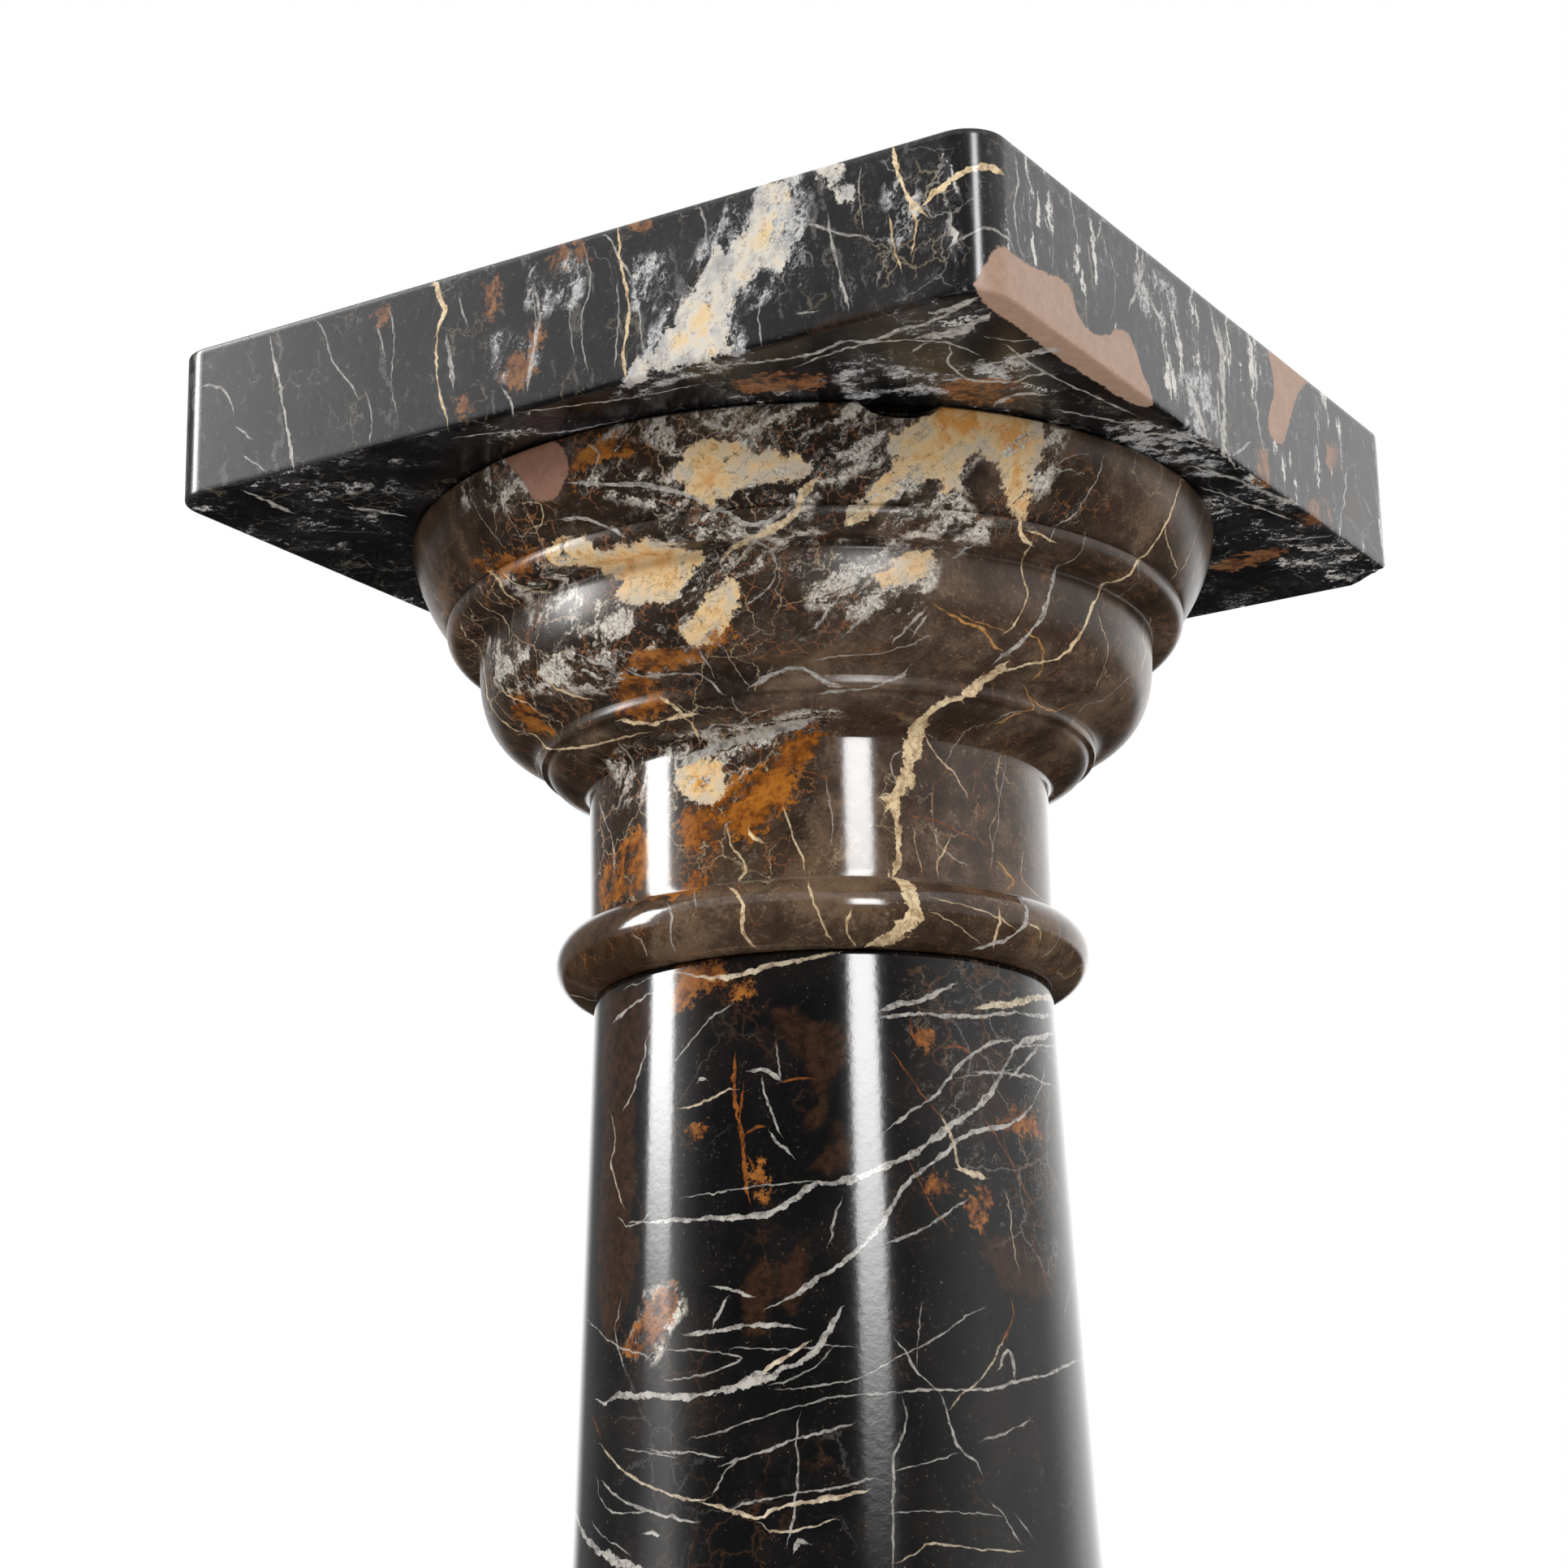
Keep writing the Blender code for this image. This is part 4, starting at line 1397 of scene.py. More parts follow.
CAPITAL_VEINS = (
    Vein("tail of the rim patch", (1110, 598, 1085, 618, 1062, 636, 1045, 646), 3.6, Tone.CREAM),
    Vein("band over the bead", (1008, 588, 992, 606, 980, 628, 960, 648, 930, 662, 905, 672,
        890, 690), 3.4, Tone.CREAM),
    Vein("arc to the bead", (985, 610, 965, 632, 940, 645, 915, 645, 897, 632, 880, 628), 1.7),
    Vein("line at the rim's foot", (702, 594, 740, 597, 790, 598, 835, 606, 870, 622), 1.6),
    Vein("rim left a", (588, 628, 598, 645, 612, 662, 620, 674), 0.4),
    Vein("rim left b", (622, 630, 634, 648, 645, 668), 0.45),
    Vein("rim left c", (690, 640, 720, 640, 750, 650, 770, 662), 1.5),
    Vein("rim left d", (725, 548, 738, 560, 730, 585, 742, 598), 0.9),
    Vein("rim left e", (800, 540, 815, 552, 835, 555), 0.5),
    Vein("rim left f", (640, 620, 665, 620, 668, 645, 655, 650), 0.5, Tone.CREAM),
    Vein("rim hair a", (1030, 500, 1050, 515, 1075, 530), 0.35),
    Vein("rim hair b", (1078, 520, 1080, 545, 1065, 560), 0.6),
    Vein("rim arc right", (1280, 596, 1300, 575, 1318, 562, 1345, 560), 0.4),
    Vein("rim fork right", (1270, 600, 1290, 590, 1315, 578, 1330, 585), 0.5),
    Vein("grey vein of the rim", (1360, 562, 1352, 590, 1338, 612, 1322, 636, 1302, 648, 1294, 668), 0.8),
    Vein("grey vein of the bead", (1338, 655, 1334, 675, 1322, 690, 1304, 698), 0.5),
    Vein("grey vein of the bell", (1302, 698, 1296, 722, 1290, 745, 1280, 766, 1268, 782, 1252, 797,
        1238, 806, 1222, 820), 1.7),
    Vein("cream vein of the rim", (1457, 585, 1450, 610, 1440, 640, 1426, 665, 1413, 682, 1400, 692,
        1392, 708, 1370, 717, 1355, 722), 1.5, Tone.CREAM),
    Vein("cream vein of the bell", (1358, 722, 1347, 745, 1338, 768, 1330, 785, 1318, 800, 1303, 811,
        1286, 815, 1268, 817, 1250, 824, 1232, 828), 1.4, Tone.CREAM),
    Vein("right end a", (1434, 640, 1438, 668, 1446, 690, 1450, 706, 1442, 716), 0.6, Tone.CREAM),
    Vein("right end b", (1486, 615, 1480, 640, 1474, 660, 1464, 685, 1452, 708), 0.5, Tone.CREAM),
    Vein("right end c", (1492, 622, 1486, 660, 1474, 700, 1462, 730), 0.5),
    Vein("right end d", (1404, 715, 1402, 690, 1398, 680), 0.4),
    Vein("bell right a", (1360, 725, 1378, 735, 1398, 722), 0.35),
    Vein("bell right b", (1410, 762, 1408, 785, 1412, 805, 1405, 830), 0.7, Tone.CREAM),
    Vein("bell right c", (1418, 760, 1412, 790, 1418, 815), 0.4, Tone.CREAM),
    Vein("bell right d", (1352, 752, 1358, 775, 1366, 800, 1358, 830, 1345, 855), 0.35, Tone.CREAM),
    Vein("bell right e", (1397, 825, 1380, 845, 1358, 862, 1338, 868, 1325, 885, 1318, 895), 0.6),
    Vein("red root under the patch", (1258, 636, 1255, 650, 1262, 664, 1272, 672), 1.5, Tone.CREAM),
    Vein("vein down the bead", (1272, 670, 1262, 685, 1257, 702, 1263, 718, 1266, 728, 1262, 748, 1254, 762,
        1245, 774, 1238, 780), 0.9, Tone.CREAM),
    Vein("short bead vein", (1266, 654, 1280, 658, 1292, 664, 1300, 668), 1.0, Tone.CREAM),
    Vein("soffit streak", (1218, 655, 1205, 668, 1188, 678, 1176, 688), 1.5),
    Vein("soffit hair", (1196, 640, 1208, 650, 1216, 664), 0.4),
    Vein("gold vein", (1152, 745, 1170, 757, 1190, 768, 1208, 774, 1218, 785, 1226, 798,
        1236, 802), 1.2, Tone.GOLD),
    Vein("gold vein branch", (1175, 752, 1200, 765, 1222, 772, 1240, 780), 0.5, Tone.GOLD),
    Vein("gold drop", (1262, 775, 1280, 790, 1285, 810, 1282, 828, 1272, 838), 0.9, Tone.GOLD),
    Vein("gold knot", (1262, 845, 1268, 860, 1275, 872, 1268, 876, 1250, 880, 1235, 890,
        1220, 892), 0.8, Tone.GOLD),
    Vein("gold knot right", (1266, 858, 1282, 870, 1300, 875, 1320, 868), 0.8, Tone.GOLD),
    Vein("bulge of the great vein", (1238, 818, 1224, 830, 1208, 842, 1197, 853,
        1188, 860), 5.4, Tone.CREAM),
    Vein("waist of the great vein", (1205, 852, 1185, 860, 1162, 866, 1147, 876, 1137, 888,
        1128, 902), 3.0, Tone.CREAM),
    Vein("trunk of the great vein", (1138, 884, 1129, 902, 1124, 922, 1120, 942, 1113, 960, 1104, 978,
        1094, 996), 7.2, Tone.CREAM),
    Vein("foot of the great vein", (1098, 980, 1103, 1004, 1107, 1026, 1106, 1046, 1107, 1064,
        1100, 1080), 3.6, Tone.CREAM),
    Vein("great vein round the ring", (1095, 1078, 1112, 1088, 1124, 1102, 1128, 1118, 1122, 1134,
        1108, 1147, 1090, 1158, 1068, 1166), 6.2, Tone.CREAM),
    Vein("loop by the trunk", (1110, 925, 1100, 935, 1098, 950, 1104, 962), 0.8),
    Vein("neck cross a", (1138, 905, 1148, 922, 1158, 936, 1168, 946, 1178, 958, 1186, 972,
        1192, 982), 0.7, Tone.CREAM),
    Vein("neck cross b", (1166, 948, 1154, 966, 1148, 985, 1150, 1005, 1144, 1025), 0.7, Tone.RUST),
    Vein("neck cross c", (1166, 940, 1172, 925, 1182, 912, 1195, 898, 1212, 892), 0.45),
    Vein("neck rust bar", (1118, 1004, 1140, 1008, 1160, 1014, 1180, 1024, 1200, 1034,
        1220, 1040), 0.8, Tone.RUST),
    Vein("neck lower a", (1125, 1020, 1128, 1042, 1134, 1062, 1136, 1076), 0.5, Tone.CREAM),
    Vein("neck lower b", (1150, 1025, 1156, 1042, 1166, 1050, 1178, 1060, 1192, 1066), 0.5),
    Vein("neck lower c", (1170, 1032, 1162, 1050, 1153, 1066, 1156, 1080), 0.8, Tone.CREAM),
    Vein("neck edge a", (1240, 925, 1238, 950, 1232, 980, 1230, 1010, 1224, 1040, 1222, 1075), 0.5),
    Vein("neck edge b", (1232, 930, 1228, 960, 1230, 995, 1220, 1020, 1224, 1050), 0.4, Tone.CREAM),
    Vein("neck gold fleck", (1230, 1062, 1240, 1076, 1250, 1086, 1246, 1092, 1236, 1098), 1.3, Tone.GOLD),
    Vein("neck edge c", (1262, 1050, 1258, 1075, 1268, 1095, 1288, 1110), 0.4, Tone.CREAM),
    Vein("neck rust hair", (955, 935, 975, 945, 1000, 952, 1020, 958, 1035, 962), 0.7, Tone.RUST),
    Vein("neck rib a", (965, 995, 972, 1015, 978, 1035, 988, 1055, 992, 1072), 0.9, Tone.CREAM),
    Vein("neck rib b", (896, 1020, 898, 1035, 905, 1048, 916, 1060, 918, 1075, 905, 1088), 1.0, Tone.CREAM),
    Vein("neck rib c", (922, 1022, 930, 1034, 940, 1038), 1.8, Tone.CREAM),
    Vein("neck rib d", (1018, 960, 1022, 985, 1026, 1010, 1024, 1040), 0.5),
    Vein("neck top band", (835, 945, 865, 928, 900, 915, 940, 903, 975, 893, 1008, 884), 4.2),
    Vein("neck top band cream", (905, 912, 935, 904, 960, 896), 2.4, Tone.CREAM),
    Vein("neck left vein", (738, 985, 745, 1010, 752, 1030, 757, 1055, 756, 1080), 0.9),
    Vein("neck left wisp", (762, 915, 778, 935, 780, 960, 765, 985, 760, 1000), 1.0),
    Vein("ring a", (896, 1092, 910, 1104, 916, 1120, 915, 1140, 918, 1155, 932, 1168), 1.3, Tone.CREAM),
    Vein("ring b", (996, 1086, 1000, 1105, 1008, 1125, 1015, 1142, 1026, 1160), 1.0, Tone.CREAM),
    Vein("ring c", (1048, 1122, 1043, 1138, 1046, 1154, 1054, 1166), 0.9, Tone.CREAM),
    Vein("ring d", (822, 1112, 828, 1130, 826, 1148, 832, 1172), 0.8),
    Vein("ring e", (780, 1150, 792, 1162, 798, 1178), 0.6),
    Vein("ring f", (856, 1098, 858, 1118), 0.5),
    Vein("ring g", (1148, 1106, 1180, 1114, 1212, 1123, 1236, 1134, 1252, 1145), 0.5, Tone.CREAM),
    Vein("ring h", (1230, 1118, 1232, 1136, 1226, 1152, 1224, 1168), 1.1, Tone.CREAM),
    Vein("ring i", (1252, 1104, 1264, 1120, 1264, 1138, 1250, 1152, 1230, 1162, 1200, 1170), 1.8),
    Vein("ring j", (1268, 1138, 1282, 1146, 1282, 1158), 0.8, Tone.CREAM),
    Vein("ring k", (1150, 1125, 1172, 1135, 1192, 1150, 1206, 1162), 0.4, Tone.CREAM),
    Vein("ring l", (1300, 1125, 1306, 1145, 1300, 1165, 1280, 1182), 0.4),
    Vein("ring m", (700, 1225, 730, 1232, 760, 1236), 1.0, Tone.CREAM),
    Vein("bell streak a", (770, 824, 792, 833, 830, 830, 860, 832, 878, 842, 892, 856), 1.5),
    Vein("bell streak b", (862, 803, 872, 818, 880, 834), 0.9),
    Vein("bell streak c", (893, 800, 905, 820, 915, 836, 924, 846), 0.5),
    Vein("bell streak d", (902, 858, 908, 872, 918, 884, 926, 896), 0.5),
    Vein("bell streak e", (925, 846, 945, 834, 965, 826, 988, 824, 1002, 830, 1018, 842, 1038, 846), 2.0),
    Vein("bell streak f", (1010, 855, 1050, 850, 1080, 846, 1100, 838, 1112, 830, 1122, 820), 1.2),
    Vein("bell streak g", (1000, 815, 1040, 808, 1080, 806, 1110, 798, 1132, 790, 1144, 784), 0.9),
    Vein("bell fork a", (1140, 750, 1128, 762, 1116, 776, 1100, 792), 1.0),
    Vein("bell fork b", (1142, 758, 1132, 772, 1122, 788), 0.9),
    Vein("bell fork c", (1078, 742, 1066, 758, 1052, 772, 1042, 782), 1.2),
    Vein("bell fork d", (1022, 742, 1012, 765, 1000, 775), 1.2),
    Vein("bell thin a", (955, 705, 950, 720, 935, 735, 920, 745), 0.8),
    Vein("bell thin b", (918, 680, 932, 668, 950, 680, 958, 700), 0.9),
    Vein("fillet line", (585, 792, 594, 805, 597, 835, 602, 862, 615, 884, 636, 900, 655, 903, 666, 912,
        675, 922, 705, 922, 735, 918, 765, 910, 800, 902), 1.3, Tone.CREAM),
    Vein("bell left a", (600, 702, 615, 715, 622, 730, 640, 742), 1.6, Tone.CREAM),
    Vein("bell left b", (620, 705, 632, 718, 655, 728, 680, 730), 0.9, Tone.CREAM),
    Vein("bell left c", (585, 735, 598, 750, 615, 757, 626, 770, 628, 785), 0.7, Tone.CREAM),
    Vein("bell left d", (568, 770, 575, 785, 585, 792), 0.9, Tone.CREAM),
    Vein("lower left a", (615, 840, 628, 858, 650, 866, 662, 878), 0.9, Tone.CREAM),
    Vein("lower left b", (670, 835, 685, 848, 705, 856, 730, 862), 1.8, Tone.CREAM),
    Vein("lower left c", (712, 806, 740, 818, 760, 815), 1.5),
    Vein("roll white a", (812, 858, 830, 870, 845, 885, 856, 900, 862, 916), 1.3, Tone.CREAM),
    Vein("roll white b", (862, 916, 870, 904, 880, 893, 905, 893, 922, 884, 938, 876, 955, 872), 1.0),
    Vein("roll white c", (760, 888, 800, 892, 830, 884, 860, 880), 1.8, Tone.CREAM),
    Vein("roll left", (666, 925, 660, 940, 666, 958), 0.8),
    Vein("soffit vein right", (1220, 892, 1240, 880, 1262, 876), 0.4),
    Vein("neck vein right", (1140, 902, 1150, 910), 0.4),
    Vein("rust hair right", (1005, 842, 1040, 846, 1080, 850), 0.4, Tone.RUST),
    Vein("rust hair left", (800, 850, 830, 850, 858, 856), 0.6, Tone.RUST),
)


class Capital(TurnedStone):
    """The round capital: rim, bead, bell, fillet, roll, neck and ring."""

    node = "capital"
    slot = "capital_marble"
    sizes = CapitalSizes()
    wild_veins = 46
    # Warm brown ground under many healed cracks, with a softer sheen on the mouldings above the neck.
    marble = Marble(
        "brown black marble, turned and polished", ("32261D", "4A3A2E", "6E5946"), hairline_amount=0.60,
        speckle_amount=0.95, filler="A27762", filler_dark="8E6552", satin=0.19, satin_z=0.9165, seed=1.0,
    )

    def __init__(self, view: PhotoView) -> None:
        """Set the chip in the rim, left of the photograph's middle."""
        super().__init__(view)
        rim = self.sizes.radii()[-1]
        bearing = math.radians(-47.5)
        centre = (rim * math.cos(bearing), rim * math.sin(bearing), self.high[2])
        self.chips = (Chip(centre, bearing, (0.0090, 0.0125, 0.0052), (-0.8, 0.0, -0.6)),)

    def profile(self) -> np.ndarray:
        """Section of the capital from the middle of its top to the middle of its foot.

        Returns:
            Points (radius, z): rim, quirk, bead, soffit, bell, cove, fillet, roll, neck and ring,
            with the edges and grooves rounded by the polish.
        """
        s = self.sizes
        top = self.high[2]
        roll, fillet, cove, bell, soffit, bead, rim = s.radii()
        rim_foot = top - s.rim
        bead_top = rim_foot - s.quirk
        bell_top = bead_top - s.bead
        cove_top = bell_top - s.bell
        fillet_top = cove_top - s.cove
        roll_top = fillet_top - s.fillet
        neck_top = roll_top - s.roll
        ring_top = neck_top - s.neck
        bell_start = bell_top - s.bell_cove
        neck_start = neck_top - s.neck_cove
        return soften(np.vstack([
            straight((0, top), (rim - 0.012, top), 2),
            straight((rim - 0.010, top), (rim - s.rim_arris, top), 6),
            quarter_round((rim, top - s.rim_arris), (bead, rim_foot), s.rim_fullness, s.rim_sweep, 27),
            soft_arc((bead - 0.0003, rim_foot - 0.0001), (bead - 0.0003, bead_top + 0.0001), -1.1, 4),
            soft_arc((bead, bead_top), (soffit, bell_top), 0.27, 12),
            soft_arc((soffit - 0.0005, bell_top), (bell - 0.0002, bell_start), -0.34, 5),
            quarter_round((bell, bell_start), (cove, cove_top), s.bell_fullness, s.bell_sweep, 30),
            soft_arc((cove - 0.0004, cove_top - 0.0002), (fillet + 0.0003, fillet_top + 0.0002), -0.12, 6),
            soft_arc((fillet, fillet_top), (fillet, roll_top), 0.10, 4),
            quarter_round((roll, roll_top), (s.neck_radius + s.neck_cove, neck_top), 2.0, s.roll_sweep, 11),
            soft_arc((s.neck_radius + s.neck_cove * 0.7, neck_top - s.neck_cove * 0.25),
                     (s.neck_radius, neck_start), -0.12, 3)[1:],
            straight((s.neck_radius, neck_start), (s.neck_radius, ring_top), 34)[1:],
            half_round(s.neck_radius, ring_top, s.ring, s.ring_projection, 28)[1:],
            straight((s.neck_radius - 0.004, self.low[2]), (0, self.low[2]), 3),
        ]), s.polish)

    areas = CAPITAL_AREAS
    veins = CAPITAL_VEINS


# Areas and veins of the shaft, laid over the photograph.
SHAFT_AREAS = (
    Area("brown left edge", Patch.BROWN_STAIN_AND_SHADE, (748, 1222, 775, 1215, 800, 1225, 805, 1260, 792, 1300, 785, 1350,
        780, 1400, 785, 1450, 778, 1500, 785, 1545, 772, 1600, 758, 1650, 742, 1640, 738, 1560, 738, 1480,
        744, 1400, 742, 1300)),
    Area("stain of the left edge", Patch.BROWN_STAIN_AND_SHADE, (755, 1240, 775, 1225, 795, 1245, 790, 1285, 778, 1320,
        766, 1340, 756, 1300)),
    Area("stain of the left edge, lower", Patch.BROWN_STAIN_AND_SHADE, (742, 1440, 756, 1430, 772, 1450, 778, 1475,
        768, 1510, 762, 1560, 745, 1590, 740, 1520)),
    Area("rust under the ring", Patch.RUST, (838, 1192, 870, 1184, 886, 1186, 895, 1200, 888, 1214,
        893, 1232, 880, 1232, 872, 1216, 858, 1222, 848, 1238, 832, 1248, 828, 1225)),
    Area("rust fleck", Patch.RUST, (895, 1215, 912, 1212, 925, 1222, 915, 1228, 900, 1224)),
    Area("olive plume", Patch.BROWN_STAIN_AND_SHADE, (955, 1245, 985, 1250, 1010, 1265, 1035, 1262, 1040, 1300, 1030, 1340,
        1012, 1380, 998, 1385, 1002, 1340, 992, 1300, 968, 1280)),
    Area("olive plume lower", Patch.BROWN_STAIN_AND_SHADE, (1000, 1440, 1020, 1405, 1040, 1380, 1048, 1420, 1035, 1450)),
    Area("olive bead", Patch.BROWN_STAIN_AND_SHADE, (962, 1600, 968, 1565, 985, 1540, 1000, 1535, 995, 1570, 978, 1612)),
    Area("olive streak", Patch.BROWN_STAIN_AND_SHADE, (915, 1600, 925, 1560, 945, 1545, 945, 1590, 938, 1640, 922, 1640)),
    Area("brown right", Patch.BROWN_STAIN_AND_SHADE, (1185, 1310, 1210, 1285, 1235, 1310, 1240, 1350, 1275, 1370,
        1290, 1400, 1250, 1400, 1205, 1385, 1185, 1350)),
    Area("brown lower right", Patch.BROWN_STAIN_AND_SHADE, (1215, 1530, 1250, 1520, 1290, 1545, 1295, 1590, 1270, 1600,
        1245, 1585, 1220, 1560)),
    Area("rust right a", Patch.RUST, (1232, 1378, 1255, 1370, 1275, 1380, 1285, 1400, 1262, 1392,
        1240, 1390)),
    Area("rust right b", Patch.RUST, (1130, 1455, 1150, 1450, 1168, 1458, 1160, 1472, 1138, 1470)),
    Area("rust right c", Patch.RUST, (1195, 1478, 1208, 1480, 1212, 1500, 1204, 1512, 1196, 1500)),
    Area("rust right d", Patch.RUST, (1208, 1466, 1218, 1470, 1218, 1484, 1210, 1482)),
    Area("rust right e", Patch.RUST, (1132, 1275, 1142, 1268, 1150, 1278, 1143, 1290, 1132, 1286)),
    Area("rust fork left", Patch.RUST, (925, 1450, 935, 1435, 942, 1450, 938, 1462, 948, 1475, 935, 1470)),
    Area("calcite of the left edge", Patch.CLOUD, (775, 1660, 785, 1630, 800, 1600, 826, 1588, 836, 1610,
        820, 1650, 800, 1675)),
    Area("crushed upper right", Patch.BROKEN, (1100, 1190, 1200, 1180, 1300, 1190, 1305, 1330, 1300, 1560,
        1240, 1520, 1180, 1420, 1130, 1320)),
    Area("broken calcite left", Patch.RUST, (765, 1665, 780, 1640, 795, 1610, 812, 1595, 830, 1585,
        832, 1605, 818, 1640, 808, 1655, 790, 1672)),
    Area("rust smear", Patch.RUST, (850, 1392, 866, 1388, 862, 1398, 852, 1400)),
)

